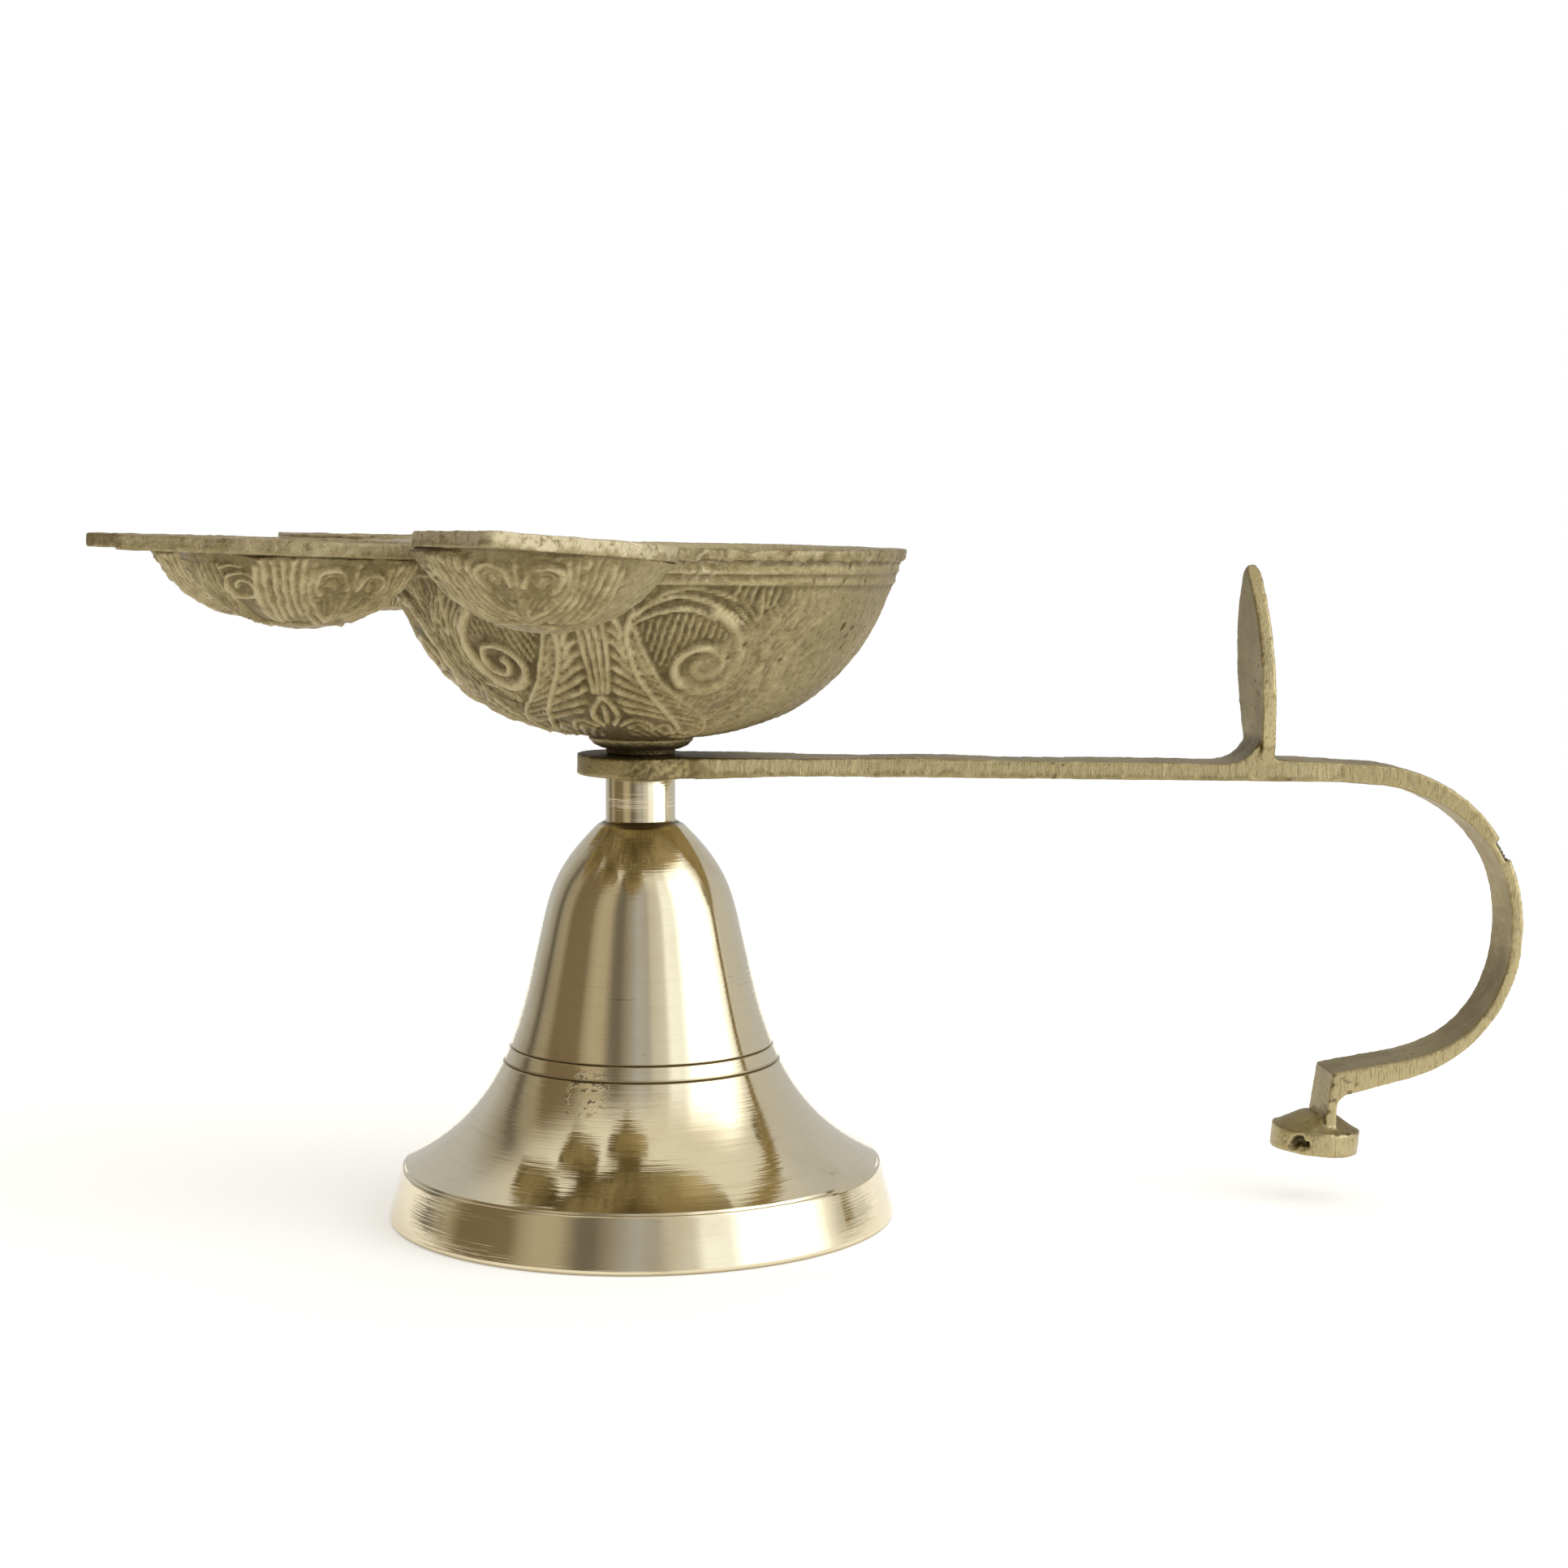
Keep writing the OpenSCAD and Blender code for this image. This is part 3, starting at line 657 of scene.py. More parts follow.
def shapeBowl(piece, u, v):
    row = np.round(v * (len(bowlLine) - 1)).astype(int)
    turn = u * 360 - 180
    r, z = bowlLine[row].T
    wallRow = row - len(below)
    onWall = (wallRow >= 0) & (wallRow < len(outside))
    onLip = (wallRow >= len(outside) - 2) & (wallRow < len(outside) + 5)
    onTop = (wallRow >= len(outside) + 3) & (wallRow < len(outside) + 9)
    inner = wallRow >= len(outside) + 7
    rise = np.where(onWall, wallLength[np.clip(wallRow, 0, len(outside) - 1)], -10)
    radians = np.radians(turn)
    place = np.column_stack([r * np.sin(radians), -r * np.cos(radians), z])
    # the mould was cut by hand, so each repeat differs a little
    wobble = rumple(place, 15, 3)
    repeat = 360 / scrollwork["repeats"]
    jitter, shift = 0.05 * rumple(place, 2.8, 4, 18), 0.05 * rumple(place, 2.8, 6, 18)
    cutTurn = turn + 0.8 * wobble + jitter * 57.3 / np.maximum(r, 3)
    folded = np.abs((cutTurn - scrollwork["middle"] + repeat / 2) % repeat - repeat / 2)
    height = np.zeros(len(u))
    height[onWall] = drawScrolls(folded[onWall], (rise + 0.25 * wobble + shift)[onWall], r[onWall])
    worn = ease(turn + 5 * rumple(place, 8, 5), bowl["wornFrom"], bowl["wornFrom"] + 16)
    worn *= 1 - ease(turn, bowl["wornTo"], bowl["wornTo"] + 25)
    worn = np.maximum(worn, 0.7 * ease(rumple(place, 26, 8), 0.7, 1.3))
    height *= (1.25 - worn) * np.clip(0.95 + 0.2 * rumple(place, 3.3, 7), 0.5, 1.3)
    rings = np.zeros(len(u))
    for drop in (bowl["lineDrop"], bowl["lineDrop"] + bowl["lineGap"]):
        level = np.interp(outside[-1, 1] + bowl["lipHeight"] - drop, outside[:, 1], wallLength)
        level = wallLength[np.argmin(np.abs(wallLength - level))]
        away = np.abs(rise - level) / 0.46
        height = np.maximum(height, 0.34 * np.clip(1 - away ** 2, 0, None) * (1 - 0.35 * worn))
        # a dark band just under each raised line: painted shadow under the lines
        rings = np.maximum(rings, np.exp(-((rise - level + 0.5) / 0.3) ** 2))
    grain = (0.03 * rumple(place, 0.9, 12, 24) + 0.02 * rumple(place, 2.3, 13, 18)
             + 0.04 * rumple(place, 9, 14))
    pits = ease(rumple(place, 1.5, 21, 24) + 0.7 * rumple(place, 9, 22), 1.7, 2.3) * (0.4 + 0.6 * worn)
    lumps = ease(rumple(place, 1.1, 25, 24), 1.5, 2.1) * worn * 0.07
    height = height + (grain - 0.2 * pits + lumps) * onWall
    # the lip is filed flat, with a ragged lower edge, nicks in its top and lumps of braze beside the last cup
    ragged = 0.12 * rumple(place, 1.3, 31, 24) + 0.07 * rumple(place, 4, 32)
    height += np.where(onLip & ~onTop, 0.10 * streaks(turn * 0.6, 0.25, 33), 0)
    braze = (np.exp(-((turn - 15) / 4.5) ** 2) * ease(rumple(place, 1.2, 35, 24), -0.2, 1)
             * ((rise > 37.8) | onLip))
    height += 0.3 * braze
    side = bowlSide[row]
    grow = height * (~inner)
    r = r + side[:, 0] * grow
    z = z + side[:, 1] * grow
    lower = (wallRow >= len(outside) - 2) & (wallRow < len(outside) + 3)
    z = z + np.where(lower, np.clip(ragged, -0.5, 0.5), 0)
    nick = (np.exp(-((turn - 24.5) / 1.6) ** 2) + 0.35 * np.exp(-((turn - 34) / 0.5) ** 2)
            + 0.3 * np.exp(-((turn + 71) / 0.8) ** 2))
    z = z - onTop * (0.42 * nick + 0.07 * np.abs(rumple(place, 2.2, 41)) + 0.05 * rumple(place, 14, 42))
    z += inner * (r < rimFade) * 0.03 * rumple(place, 3, 43)
    # patina in the sunk ground and the pits, and painted shadow under the ring lines
    hollowsAndRingShadow = onWall * ((0.95 - 0.7 * worn) * ease(-height, -0.2, 0.1) * ease(-rise, -37.2, -36.6) + pits
                         + 0.6 * rings)
    lipDirt = (onLip | onTop) * 0.6 * ease(rumple(place, 2.4, 46) + 0.6 * rumple(place, 0.8, 47, 20), 0, 1.4)
    # the last wall rows under the lip are darkened too: painted shade under the lip's overhang
    setMark(piece, "cavity", np.maximum(np.maximum(hollowsAndRingShadow, (lower & (wallRow < len(outside))) * 0.7),
                                        lipDirt))
    setMark(piece, "ridge", onWall * ease(height, 0.2, 0.5))
    setMark(piece, "filed", np.where(onLip | onTop, 0.1 + 0.35 * ease(rumple(place, 3, 45), 0, 1), 0)
            + 0.5 * braze)
    setMark(piece, "inner", inner)
    setMark(piece, "worn", worn * onWall)
    return leanSpots(np.column_stack([r * np.sin(radians), -r * np.cos(radians), z]) * mm)


rimFade = bowl["rimRadius"] - 3
bowlPiece = bentGrid("oilBowl", bowl["around"], len(bowlLine) - 1, shapeBowl)
closeUp(bowlPiece)
print("oil bowl:", 2 * len(bowlPiece.data.polygons), "triangles or fewer")


def castBrass():
    look = newFinish("castBrass")
    place = look.place()
    sand = look.noise(place, 0.00035, 3.0, 0.7)
    blotch = look.noise(place, 0.006, 4.0, 0.6)
    speckle = look.noise(place, 0.0010, 3.0, 0.6)
    cavity, ridge, filed, inner, worn = (look.mark(name)
                                         for name in ("cavity", "ridge", "filed", "inner", "worn"))
    color = look.blend(look.spread(blotch, 0.3, 0.7), (0.285, 0.222, 0.106, 1), (0.36, 0.29, 0.15, 1))
    color = look.blend(worn * 0.6, color, (0.43, 0.355, 0.20, 1))
    color = look.blend(look.spread(speckle, 0.5, 0.72) * 0.6, color, (0.52, 0.44, 0.26, 1))
    color = look.blend(look.spread(speckle, 0.48, 0.3) * 0.55, color, (0.17, 0.125, 0.055, 1))
    # dark patina in the hollows and pits, and painted shade where the mark covers the crease under the bowl's
    # lip, the bands under its ring lines and the cups' flange undersides
    color = look.blend(cavity * 0.9, color, (0.085, 0.06, 0.025, 1))
    color = look.blend(ridge * 0.65, color, (0.58, 0.49, 0.29, 1))
    color = look.blend(filed * look.spread(speckle, 0.25, 0.5), color, (0.58, 0.50, 0.33, 1))
    color = look.blend(inner * 0.8, color, (0.62, 0.53, 0.33, 1))
    rough = 0.44 + look.spread(sand, 0.3, 0.7) * 0.14 - ridge * 0.06 + filed * 0.04 - inner * 0.2
    grains = look.bump(sand, 0.00016, None, 0.9)
    normal = look.bump(speckle, 0.0002, grains, 0.8)
    return look.surface(color, rough, normal)


castFinish = castBrass()
bowlPiece.data.materials.append(castFinish)
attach(bowlPiece, "head")
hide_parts("oil_bowl")


# The five wick cups: cast from one pattern, filed round the edge and brazed to the rim.

cup = {
    "distance": 52.7, "radius": 15.9, "tip": 24.8, "flange": 1.9, "depth": 11.2, "wall": 1.5, "step": 40,
    "lugWidth": 14, "channel": 0.8, "channelRadius": 4, "around": 300,
    "rows": {"dome": 84, "under": 7, "edge": 9, "top": 14, "inside": 24},
}
# for each cup: turn, lift, tip raised, roll, where the middle of its pattern lies, how bright its filed
# edge is, wear
cupSet = [(2, -0.9, 0, 0.5, 40, 0.3, 0.2), (-1, 0.2, 0, 0, 60, 0.3, 0.2), (-3, -0.1, 0.4, 0.5, 80, 0.3, 0.2),
          (-2, 0.1, 1, -0.5, 91, 0.35, 0.15), (0, 0.9, 2.5, -1.8, 1.5, 1.0, 0.75)]
# half of one repeat of a cup's pattern, mirrored about its middle, as (turn in degrees, rise from the
# bottom in mm)
cupArt = {
    "brow": [(23.5, 13.2), (25.5, 15.2), (22, 17.4)],
    "ribs": [[(23, 17.5), (26, 14), (22, 11), (11, 8.4), (2, 7.2)],
             [(28, 17.9), (29.5, 13.5), (26, 10), (17, 7.6), (6, 6)],
             [(33, 17.9), (34, 13), (31, 9.5), (24, 7.2)], [(38, 17.9), (38.5, 13), (37.5, 9.5), (33, 7.2)],
             [(43, 17.9), (43.5, 13), (44, 9.5), (41, 7)], [(48, 17.7), (50.5, 13.5), (51.5, 9.8), (48, 7)],
             [(53, 16.6), (57, 13.2), (58.5, 9.6), (54, 6.8)]],
    "curlTurn": 65, "curlRise": 13.6,
    "leaf": [(0, 11.4), (2.6, 9.6), (1.8, 7.6), (0, 6.6)],
    "hatchFrom": 69,
}
ballRadius = (cup["depth"] ** 2 + cup["radius"] ** 2) / (2 * cup["depth"]) + 0.1
ballHeight = ballRadius - cup["depth"]
cupSwell = math.acos((ballHeight + cup["flange"]) / ballRadius)


def flangeReach(turn):
    # the flange's edge, from the cup's middle: round, drawn out to a point, with a lug towards the bowl
    a = math.radians(58)
    corner = np.array([cup["radius"] * math.cos(a), cup["radius"] * math.sin(a)])
    run = np.array([math.sin(a), -math.cos(a)])
    side = cubic(corner, corner + 6 * run, (cup["tip"] - 3.6, 2.6), (cup["tip"], 0.9), 60)
    side = np.vstack([side, [(cup["tip"] + 0.05, 0)]])
    angles = np.degrees(np.arctan2(side[:, 1], side[:, 0]))[::-1]
    reach = np.interp(np.abs(turn), angles, np.hypot(*side.T)[::-1], right=cup["radius"])
    radians = np.radians(turn)
    toRim = bowl["rimRadius"] - 0.35
    inRoot = np.clip(toRim ** 2 - (cup["distance"] * np.sin(radians)) ** 2, 0, None)
    rimReach = np.where(inRoot > 0, -cup["distance"] * np.cos(radians) - np.sqrt(inRoot), 99)
    lugReach = cup["lugWidth"] / 2 / np.maximum(np.abs(np.sin(radians)), 1e-6)
    lug = np.where(np.abs(turn) > 120, np.minimum(rimReach, lugReach), 0)
    return np.maximum(reach, lug)


def drawCup(turn, rise, radius, middle, wear, seed):
    folded = 90 - np.abs(90 - np.abs((turn - middle + 90) % 180 - 90))
    wall = Wall(folded, rise, radius)
    art = cupArt
    ground = ease(rise, 5.6, 6.4) * ease(-rise, -17.9, -17.3)
    wall.lower(ground, 0.12)
    hatch = ease(folded, art["hatchFrom"] + 9 - rise * 0.5, art["hatchFrom"] + 11 - rise * 0.5) * ground
    wall.lines((folded + 0.3 * rise) / 4.1, hatch, 0.34, 0.6)
    fibres = ease(-folded, -22, -18) * ease(rise, 8.2, 9) * ease(-rise, -12.2, -11.6)
    wall.lines((folded * 0.24 - rise * 0.55), fibres, 0.2, 0.6)
    for k, rib in enumerate(art["ribs"]):
        wall.ridge(rib, 1.25 if k < 5 else 1.6, 0.42)
        wall.groove([(t + 2.5, r) for t, r in rib], 0.9, 0.12)
    for size, width, high, first, last in ((1, 1.15, 0.46, -40, 200), (0.62, 0.6, 0.26, -10, 170),
                                           (0.2, 0.9, 0.3, 0, 300)):
        sweep = np.radians(np.arange(first, last, 12))
        wall.ridge(list(zip(12.6 + size * (8.9 * np.cos(sweep) + 1.8 * np.sin(sweep)),
                            14.4 + size * 2.35 * np.sin(sweep))),
                   width, high, False)
    wall.ridge(art["brow"], 0.8, 0.32)
    perDegree = 0.215
    wall.ridge(spiralLine((art["curlTurn"], art["curlRise"]), perDegree,
                          [(150, 2.5), (60, 2.1), (-30, 2.0), (-120, 1.9), (-240, 1.2), (-360, 0.5)]), 0.85,
               0.42, False)
    wall.ridge([(61, 16.8), (66, 17.3), (72, 16.8)], 0.8, 0.3)
    wall.ridge([(0, 17.8), (0.3, 15), (0, 12.4)], 0.9, 0.3)
    wall.ridge(art["leaf"], 0.8, 0.34)
    ring = np.abs(rise - 5.5 - 0.25 * np.sin(np.radians(turn * 3 + seed * 50))) / 0.5
    wall.height = np.maximum(wall.height, 0.34 * np.clip(1 - ring ** 2, 0, None))
    worn = wear * ease(turn, 56, 66) * ease(-turn, -140, -120)
    return wall.height * (1 - worn) * (1.2 - 0.4 * wear), worn


rows = cup["rows"]
rowEnds = np.cumsum([rows["dome"], rows["under"], rows["edge"], rows["top"], rows["inside"]])


def shapeCup(piece, u, v, number):
    turnBy, lift, raised, roll, middle, bright, wear = cupSet[number]
    turn = u * 360 - 180
    row = np.round(v * rowEnds[-1])
    radians = np.radians(turn)
    reach = flangeReach(turn)
    flat = np.column_stack([np.cos(radians), np.sin(radians), np.zeros(len(u))]) * 16
    reach = reach + 0.14 * rumple(flat, 5, 60 + number) + 0.06 * rumple(flat, 1.4, 70 + number)
    underRadius = ballRadius * math.sin(cupSwell)
    openRadius = math.sqrt((ballRadius - cup["wall"]) ** 2 - ballHeight ** 2)
    part = np.digitize(row, rowEnds, right=True)
    t = (row - np.concatenate([[0], rowEnds])[part]) / np.diff(np.concatenate([[0], rowEnds]))[part]
    radius, height = np.zeros(len(u)), np.zeros(len(u))
    dome = part == 0
    angle = cupSwell * t
    radius[dome], height[dome] = ((ballRadius * np.sin(angle))[dome],
                                  (ballHeight - ballRadius * np.cos(angle))[dome])
    under = part == 1
    radius[under] = (underRadius + (reach - 0.22 - underRadius) * t)[under]
    height[under] = -cup["flange"]
    edge = part == 2
    edgeT = np.clip(t, 0, 1)
    outline = np.array([(-0.22, -1.9), (-0.06, -1.82), (0.02, -1.62), (0.05, -1.2), (0.02, -0.8),
                        (0.06, -0.45),
                        (0.03, -0.25), (-0.04, -0.1), (-0.14, -0.02), (-0.3, 0)])
    steps = np.linspace(0, 1, len(outline))
    radius[edge] = (reach + np.interp(edgeT, steps, outline[:, 0]))[edge]
    height[edge] = np.interp(edgeT, steps, outline[:, 1])[edge]
    top = part == 3
    radius[top] = (reach - 0.3 + (openRadius - reach + 0.3) * t)[top]
    inside = part == 4
    insideSwell = math.asin(openRadius / (ballRadius - cup["wall"])) * (1 - t)
    radius[inside] = ((ballRadius - cup["wall"]) * np.sin(insideSwell))[inside]
    height[inside] = (ballHeight - (ballRadius - cup["wall"]) * np.cos(insideSwell))[inside]
    x, y = radius * np.cos(radians), radius * np.sin(radians)
    place = np.column_stack([x, y, height]) + 200 * number
    # the pattern, and metal that ran along under the flange
    art, worn = np.zeros(len(u)), np.zeros(len(u))
    wobble = rumple(place, 9, 80 + number)
    jitter, shift = 0.09 * rumple(place, 2.6, 85 + number, 18), 0.09 * rumple(place, 2.6, 185 + number, 18)
    artTurn = (turn + 1.2 * wobble + jitter * 57.3 / np.maximum(radius, 2) + 180) % 360 - 180
    artRise = ballRadius * angle + 0.3 * wobble + shift
    art[dome], worn[dome] = drawCup(artTurn[dome], artRise[dome], radius[dome], middle, wear, number)
    art *= np.clip(0.92 + 0.22 * rumple(place, 3.1, 285 + number), 0.4, 1.3)
    seam = ease(t, 0.90, 1) * (0.35 + 0.35 * rumple(flat, 9, 90 + number)
                               + 0.1 * rumple(flat, 1.6, 95 + number))
    if number == 4:
        shelf = ease(t, 0.8, 0.9) * ease(turn, -95, -75) * ease(-turn, -45, 10)
        seam = seam + shelf * (0.45 + 0.3 * rumple(flat, 6, 97) + 0.16 * streaks(turn * 0.3 + 6 * t, 0.5, 98))
    grain = 0.04 * rumple(place, 0.9, 100 + number, 20) + 0.035 * rumple(place, 2.4, 110 + number)
    pits = ease(rumple(place, 1.3, 120 + number, 24), 1.7, 2.4)
    push = dome * (art + grain - 0.16 * pits + np.clip(seam, 0, 0.95)) * ease(radius, 0, 0.6)
    x += push * np.sin(angle) * np.cos(radians) * dome
    y += push * np.sin(angle) * np.sin(radians) * dome
    height -= push * np.cos(angle) * dome
    # file marks across the edge, with a ragged lower half, and a flange that isn't quite flat
    filing = edge * np.sin(np.pi * np.clip(t, 0.02, 0.98))
    cuts = 0.05 * streaks(turn * 0.28, 0.24, 130 + number) + 0.05 * rumple(place, 1.1, 140 + number, 20)
    ragged = ease(height + 1.25 + 0.35 * rumple(flat, 3.2, 150 + number)
                  + 0.2 * rumple(flat, 0.9, 155 + number), -0.12, 0.12)
    stepOut = filing * (cuts - 0.13 * ragged * bright)
    x += stepOut * np.cos(radians)
    y += stepOut * np.sin(radians)
    onTop = (top | (edge & (t > 0.6))) & (radius > openRadius + 0.1)
    height += onTop * (0.05 * rumple(place, 4, 160 + number) + 0.03 * rumple(place, 1.2, 165 + number))
    height += under * np.sin(np.pi * np.clip(t, 0, 1)) * 0.1 * rumple(place, 3, 170 + number)
    # the channel for the wick
    over = np.clip(x - (cup["tip"] - 5), 0, None)
    drop = cup["channelRadius"] ** 2 - y * y - over * over
    channel = cup["channelRadius"] - cup["channel"] - np.sqrt(np.clip(drop, 0, None))
    inChannel = (top | edge) & (x > 0) & (drop > 0) & (height > -0.5)
    height = np.where(inChannel, np.minimum(height, channel), height)
    # braze that joins the lug to the rim
    joint = ease(np.abs(turn), 150, 160) * (under | edge | dome & (t > 0.93) | top)
    blob = joint * np.clip(0.35 + 0.35 * rumple(place, 2.2, 180 + number), 0, 0.8)
    height += np.where(top, 0.35, -0.6) * blob * ease(-x, openRadius, openRadius + 1.5)
    sunk = dome * np.clip(0.9 * ease(-art, -0.14, 0.12) * ease(angle, 0.15, 0.35) * (1 - worn)
                          * (1 - 0.35 * wear), 0, 1)
    # patina in the pattern's hollows and pits; the flange's underside is darkened as well: painted shade
    # under the flange
    setMark(piece, "cavity", np.maximum(np.maximum(sunk, pits * dome), under * 0.45))
    setMark(piece, "ridge", dome * ease(art, 0.2, 0.45))
    setMark(piece, "filed", edge * (0.12 + 0.88 * ragged) * bright + top * 0.5 + 0.4 * blob)
    setMark(piece, "inner", inside * 1.0)
    setMark(piece, "worn", np.maximum(worn, edge * (1 - ragged) * 0.4))
    # into the cup's place in the fan
    raised, roll = math.radians(raised), math.radians(roll)
    y, height = y * math.cos(roll) - height * math.sin(roll), y * math.sin(roll) + height * math.cos(roll)
    x, height = (x * math.cos(raised) - height * math.sin(raised),
                 x * math.sin(raised) + height * math.cos(raised))
    x += cup["distance"]
    out = math.radians(180 + (number - 2) * cup["step"] + turnBy)
    rimHeight = pivot[2] / mm + bowl["bottom"] + bowl["bossHeight"] + bowl["footHeight"] + bowl["height"]
    spots = np.column_stack([x * math.cos(out) - y * math.sin(out), x * math.sin(out) + y * math.cos(out),
                             height + rimHeight + lift])
    return leanSpots(spots * mm)


for number in range(5):
    piece = bentGrid(f"wickCup{number + 1}", cup["around"], int(rowEnds[-1]),
                     lambda piece, u, v, number=number: shapeCup(piece, u, v, number))
    closeUp(piece)
    piece.data.materials.append(castFinish)
    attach(piece, "head")
    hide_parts(f"wick_cup_{number + 1}")
print("wick cups:", 2 * len(piece.data.polygons), "triangles or fewer each")


# The handle: bent from filed strip, with its eye, thumb rest, leg and button.

handle = {
    "turn": math.radians(5), "voxel": 0.00027, "loopX": 102, "loopMiddle": 41.4, "loopRadius": 22,
    "eyeReach": 9.5, "filedFrom": 9, "barLow": 61.5, "thumbX": 86.4, "holeAt": (93.6, 10.7),
}

shell = bpy.data.objects.new("handleBar", bpy.data.objects["handle"].data.copy())
bpy.context.scene.collection.objects.link(shell)
makeActive(shell)
bpy.ops.object.mode_set(mode="EDIT")
bpy.ops.mesh.select_all(action="SELECT")
bpy.ops.mesh.remove_doubles(threshold=1e-6)
bpy.ops.object.mode_set(mode="OBJECT")
applyModifier(shell, "REMESH", mode="VOXEL", voxel_size=handle["voxel"])
applyModifier(shell, "SMOOTH", factor=0.5, iterations=2)
spots, normals = readSpots(shell), readNormals(shell)
flatSpots = unleanSpots(spots) / mm
flatNormals = unleanSpots(spots + normals * mm) / mm - flatSpots
c, s = math.cos(handle["turn"]), math.sin(handle["turn"])
x, y, z = (flatSpots[:, 0] * c + flatSpots[:, 1] * s, flatSpots[:, 1] * c - flatSpots[:, 0] * s,
           flatSpots[:, 2])
sideways = flatNormals[:, 1] * c - flatNormals[:, 0] * s
upwards = flatNormals[:, 2]
# how far along the strip each vertex lies
angle = np.arctan2(z - handle["loopMiddle"], x - handle["loopX"])
along = np.where(x > handle["loopX"], handle["loopX"] + handle["loopRadius"] * (math.pi / 2 - angle),
                 np.where(z > handle["loopMiddle"], x, 240 + z))
atEye = ease(-np.hypot(x, y), -handle["eyeReach"] - 1, -handle["eyeReach"])
onThumb = ease(z, 66, 67.5)
onButton = ease(-z, -13.2, -12.4) * (x < 110)
side = ease(np.abs(sideways), 0.55, 0.85) * (1 - atEye) * (1 - onButton)
place = np.column_stack([x, y, z])
across = np.where(onThumb > 0.5, z, along) + 0.12 * rumple(place, 4, 201)
cuts = 0.026 * streaks(across, 0.33, 202) + 0.014 * streaks(across + 0.1 * z, 0.9, 203)
pits = ease(rumple(place, 1.1, 204, 26) + 0.6 * rumple(place, 12, 205), 1.75, 2.5)
rough = 0.014 * rumple(place, 0.8, 206, 24) + 0.02 * rumple(place, 3.4, 207) - 0.09 * pits
# the upper part of the near face was filed back, with a ragged border
border = z - handle["barLow"] - 0.95 - 0.22 * rumple(place, 2.6, 208) - 0.1 * rumple(place, 0.7, 209)
onBar = (x > 0) & (x < 98) & (z > 60) & (z < 66.5)
nearFace = side * (sideways < 0)
facet = (nearFace * onBar * ease(border, -0.1, 0.1) * ease(x + 1.5 * (z - 63), handle["filedFrom"] - 0.5,
                                                           handle["filedFrom"] + 1))
crust = (ease(-np.hypot(x - 2.5, y + 7.5), -6.5, -3.5) * (sideways < 0)
         * ease(rumple(place, 0.8, 210, 20), -0.9, 0.9))
push = side * cuts + (1 - side) * rough - 0.11 * facet + 0.13 * crust * rumple(place, 0.45, 211, 16)
# what turns on the neck and under the bowl keeps to its flat faces
push = np.where((np.hypot(x, y) < handle["eyeReach"]) & (np.abs(upwards) > 0.5), np.clip(push, -0.1, -0.01),
                push)
# a nick in the loop's outer edge and waves in the bar's top
around = np.degrees(angle)
fromLoop = np.hypot(x - handle["loopX"], z - handle["loopMiddle"])
nick = (ease(-np.abs(around - 29.5), -4.3, -3.5) * (x > handle["loopX"]) * ease(fromLoop, 21.9, 22.5)
        * ease(-y, 0, 1.5))
push -= 0.95 * nick
push += 0.12 * rumple(place, 22, 212) * ease(upwards, 0.5, 0.9) * onBar
hollowX, hollowZ = handle["holeAt"]
wander = 0.25 * rumple(place, 1.3, 218)
hole = (ease(-np.hypot((x - hollowX) / 1.25, (z - hollowZ) / 0.85) + wander, -1.15, -0.7)
        * (sideways < -0.2) * (z < 14))
push -= 1.1 * hole
spots += normals * (push * mm)[:, None]
# the thumb rest's tip is rounded over
tipTop = z.max()
over = np.clip((z - tipTop + 1.5) / 1.5, 0, 1)
tipX, tipY = x[over > 0].mean(), y[over > 0].mean()
squeeze = (1 - np.sqrt(np.clip(1 - 0.92 * over ** 2, 0, 1)))
spots[:, 0] += ((tipX - x) * c - (tipY - y) * s) * squeeze * mm
spots[:, 1] += ((tipX - x) * s + (tipY - y) * c) * squeeze * mm
writeSpots(shell, spots)
closeUp(shell)
edges = ease(np.abs(sideways), 0.2, 0.45) * ease(-np.abs(sideways), -0.85, -0.6)
# near-black on the eye's faces between the bowl and the neck, and on the bar's top under the bowl: dirt
# together with painted shade between the parts
grimeAndShade = ease(-np.hypot(x, y), -7.5, -5) * (np.abs(upwards) > 0.5)
grimeAndShade = np.maximum(grimeAndShade, ease(-x, -16, -7) * ease(upwards, 0.5, 0.8) * 0.7)
seamDark = ease(-np.hypot(x - handle["thumbX"], (z - 65)), -4, -1.5) * (1 - side)
setMark(shell, "cavity", np.maximum.reduce([pits * 0.7, grimeAndShade, crust * 0.6, seamDark * 0.5, hole,
                                            nick * 0.9]))
setMark(shell, "ridge", edges * ease(rumple(place, 5, 213), -0.8, 0.6) * (1 - atEye))
setMark(shell, "filed", np.clip(0.12 + 0.6 * facet + 0.5 * nearFace * ease(along, 88, 96)
                                + 0.3 * nearFace * ease(along, 118, 134)
                                + 0.9 * nearFace * onThumb
                                + 0.25 * side * ease(streaks(across, 0.5, 214), 0.2, 0.9), 0, 1)
        * (side > 0.3)
        + (0.55 * onButton + 0.3 * ease(-z, -24, -21) * (x < 102) * (1 - side))
        * ease(-np.abs(upwards), -0.8, -0.4))
setMark(shell, "inner", np.zeros(len(x)))
setMark(shell, "worn", np.clip(0.5 * ease(rumple(place, 9, 215), 0.2, 1.2) * (1 - side), 0, 1))
print("handle:", 2 * len(shell.data.polygons), "triangles or fewer")


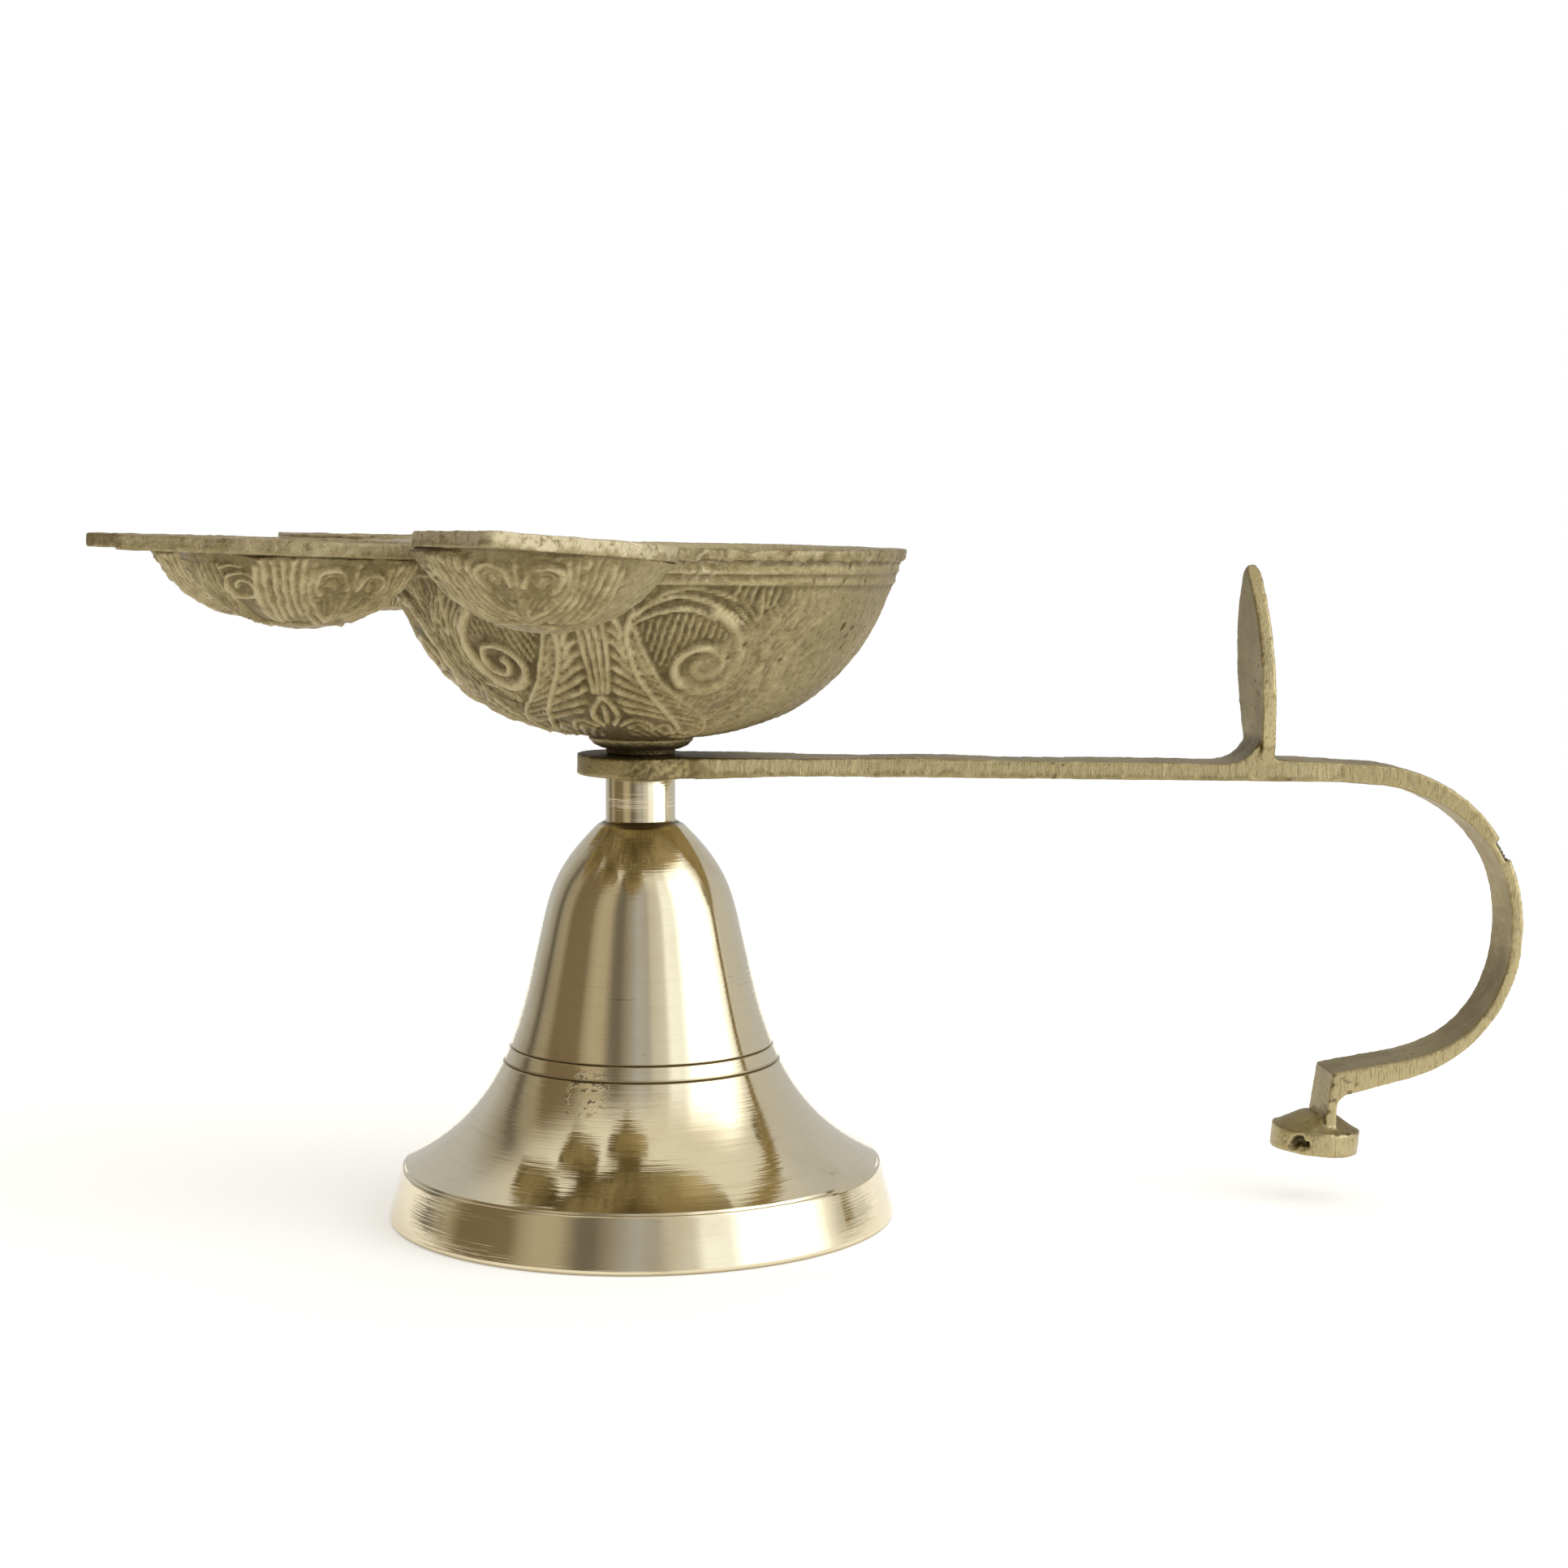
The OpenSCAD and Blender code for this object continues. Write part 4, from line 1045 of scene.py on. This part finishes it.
def filedBrass():
    look = newFinish("filedBrass")
    place = look.place()
    sand = look.noise(place, 0.0005, 3.0, 0.65)
    blotch = look.noise(place, 0.007, 4.0, 0.6)
    scratches = look.noise(look.place((9, 9, 1)), 0.0016, 2.0, 0.6)
    cavity, ridge, filed, worn = (look.mark(name) for name in ("cavity", "ridge", "filed", "worn"))
    color = look.blend(look.spread(blotch, 0.3, 0.7), (0.25, 0.193, 0.085, 1), (0.35, 0.276, 0.132, 1))
    color = look.blend(worn, color, (0.40, 0.325, 0.18, 1))
    color = look.blend(filed * look.spread(scratches, 0.1, 0.5), color, (0.50, 0.415, 0.225, 1))
    color = look.blend(look.spread(scratches, 0.5, 0.32) * filed * 0.6, color, (0.22, 0.17, 0.08, 1))
    color = look.blend(look.spread(sand, 0.6, 0.72) * 0.35, color, (0.60, 0.52, 0.34, 1))
    color = look.blend(ridge * 0.45, color, (0.58, 0.50, 0.32, 1))
    # pits, crust, nicks and dirt go dark, with painted shade where the mark covers the eye and the bar under
    # the bowl
    color = look.blend(cavity * 0.9, color, (0.045, 0.032, 0.014, 1))
    rough = 0.42 + look.spread(sand, 0.3, 0.7) * 0.12 - ridge * 0.1 - filed * 0.1
    grains = look.bump(sand, 0.00008, None, 0.8)
    normal = look.bump(scratches, 0.00006, grains, 0.6)
    return look.surface(color, rough, normal)


shell.data.materials.clear()
shell.data.materials.append(filedBrass())
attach(shell, "handle")
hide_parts("handle")


# The fasteners inside the bell: a hexagon nut, a washer and the stud with its rolled thread.

fastener = {
    "seat": 47, "washerRadius": 5.8, "washerHeight": 1.0, "nutWidth": 8, "nutHeight": 4, "studRadius": 2.5,
    "studBottom": 40.8, "studTop": 68.1, "pitch": 0.8, "threadDepth": 0.3, "bore": 2.85, "nutBore": 2.55,
}


def hexReach(turn):
    # from a hexagon's middle to its side
    return fastener["nutWidth"] / 2 / np.cos(np.radians((turn + 30) % 60 - 30))


def shapeNut(piece, u, v):
    turn = u * 360 - 180
    top = fastener["seat"] - fastener["washerHeight"]
    low = top - fastener["nutHeight"]
    reach = hexReach(turn)
    chamfer = (reach - fastener["nutWidth"] / 2) * math.tan(math.radians(30)) + 0.08
    flat = np.zeros(len(u))
    bore = flat + fastener["nutBore"]
    inner = flat + (fastener["nutWidth"] / 2 - 0.12)
    radii = np.array([bore, bore + 0.3, inner - 0.4, inner, reach - 0.02, reach, reach, reach,
                      reach - 0.02, inner, inner - 0.4, bore + 0.3, bore])
    heights = np.array([flat + low + 0.3, flat + low, flat + low, flat + low, low + chamfer,
                        low + chamfer + 0.1,
                        flat + (low + top) / 2, top - chamfer - 0.1, top - chamfer, flat + top, flat + top,
                        flat + top, flat + top - 0.3])
    index = np.round(v * (len(radii) - 1)).astype(int)
    pick = np.arange(len(u))
    radius, height = radii[index, pick], heights[index, pick]
    radians = np.radians(turn)
    spots = np.column_stack([radius * np.cos(radians), radius * np.sin(radians), height])
    spots[:, :2] *= (1 + 0.004 * rumple(spots, 2.5, 301))[:, None]
    setMark(piece, "cavity", ease(rumple(spots, 1.4, 302, 20), 0.9, 2) * 0.5)
    setMark(piece, "bright", ease(np.abs(index - 6), 0.5, 2.5) * 0.6)
    return leanSpots(spots * mm)


def shapeWasher(piece, u, v):
    turn = np.radians(u * 360)
    top = fastener["seat"]
    low = top - fastener["washerHeight"]
    bore, rim = fastener["bore"], fastener["washerRadius"]
    outline = np.array([(bore, low + 0.12), (bore + 0.12, low), (rim - 1.4, low), (rim - 0.7, low),
                        (rim - 0.3, low + 0.02),
                        (rim - 0.1, low + 0.1), (rim - 0.01, low + 0.3), (rim, low + 0.5),
                        (rim - 0.01, low + 0.75),
                        (rim - 0.1, top - 0.1), (rim - 0.3, top), (rim - 1.4, top), (bore + 0.12, top),
                        (bore, top - 0.12)])
    radius, height = outline[np.round(v * (len(outline) - 1)).astype(int)].T
    spots = np.column_stack([radius * np.cos(turn), radius * np.sin(turn), height])
    spots[:, 2] += 0.015 * rumple(spots, 3, 311) * (height < low + 0.05)
    setMark(piece, "cavity", ease(rumple(spots, 1.8, 312, 20), 0.7, 2) * 0.6)
    setMark(piece, "bright", ease(radius, 5.3, 5.75) * 0.7)
    return leanSpots(spots * mm)


studRows = 360


def shapeStud(piece, u, v):
    row = np.round(v * studRows).astype(int)
    low, top, radius = fastener["studBottom"], fastener["studTop"], fastener["studRadius"]
    length = np.clip((row - 4) / (studRows - 8), 0, 1)
    height = low + 0.02 + (top - low - 0.04) * length
    phase = (height / fastener["pitch"] - u) % 1
    depth = fastener["threadDepth"] * np.clip(2.3 * np.abs(phase - 0.5) - 0.15, 0, 1)
    end = np.minimum(height - low, top - height)
    taper = np.clip(0.45 - end, 0, None)
    reach = np.minimum(radius - depth * ease(end, 0.05, 0.5), radius - taper)
    cap = np.array([0, 0.35, 0.7, 0.9, 1.0])
    reach *= np.where(row < 5, cap[np.clip(row, 0, 4)],
                      np.where(row > studRows - 5, cap[np.clip(studRows - row, 0, 4)], 1))
    height = np.where(row < 4, low, np.where(row > studRows - 4, top, height))
    turn = u * 2 * math.pi
    spots = np.column_stack([reach * np.cos(turn), reach * np.sin(turn), height])
    setMark(piece, "cavity", ease(depth, 0.15, 0.3) * 0.8)
    setMark(piece, "bright", ease(-depth, -0.06, 0) * 0.7)
    return leanSpots(spots * mm)


def fastenerBrass():
    look = newFinish("fastenerBrass")
    place = look.place()
    grainLines = look.noise(look.place((300, 300, 1200)), 1.0, 3.0, 0.6)
    blotch = look.noise(place, 0.002, 4.0, 0.6)
    cavity, bright = look.mark("cavity"), look.mark("bright")
    color = look.blend(look.spread(blotch, 0.35, 0.7), (0.42, 0.33, 0.17, 1), (0.56, 0.46, 0.27, 1))
    color = look.blend(bright, color, (0.72, 0.62, 0.40, 1))
    color = look.blend(cavity, color, (0.16, 0.115, 0.05, 1))
    rough = 0.34 + look.spread(blotch, 0.4, 0.7) * 0.18 - bright * 0.1
    normal = look.bump(grainLines, 0.00003)
    return look.surface(color, rough, normal)


fastenerFinish = fastenerBrass()
for name, shape, around, along, body, node, smoothTo in (
        ("lockNut", shapeNut, 360, 12, "base", "lock_nut", 25),
    ("lockWasher", shapeWasher, 192, 13, "base", "lock_washer", 50),
        ("stud", shapeStud, 72, studRows, "stud", "stud", 50)):
    piece = bentGrid(name, around, along, shape)
    closeUp(piece)
    makeActive(piece)
    bpy.ops.object.shade_smooth_by_angle(angle=math.radians(smoothTo))
    piece.data.materials.append(fastenerFinish)
    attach(piece, body)
    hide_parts(node)
print("fasteners done")
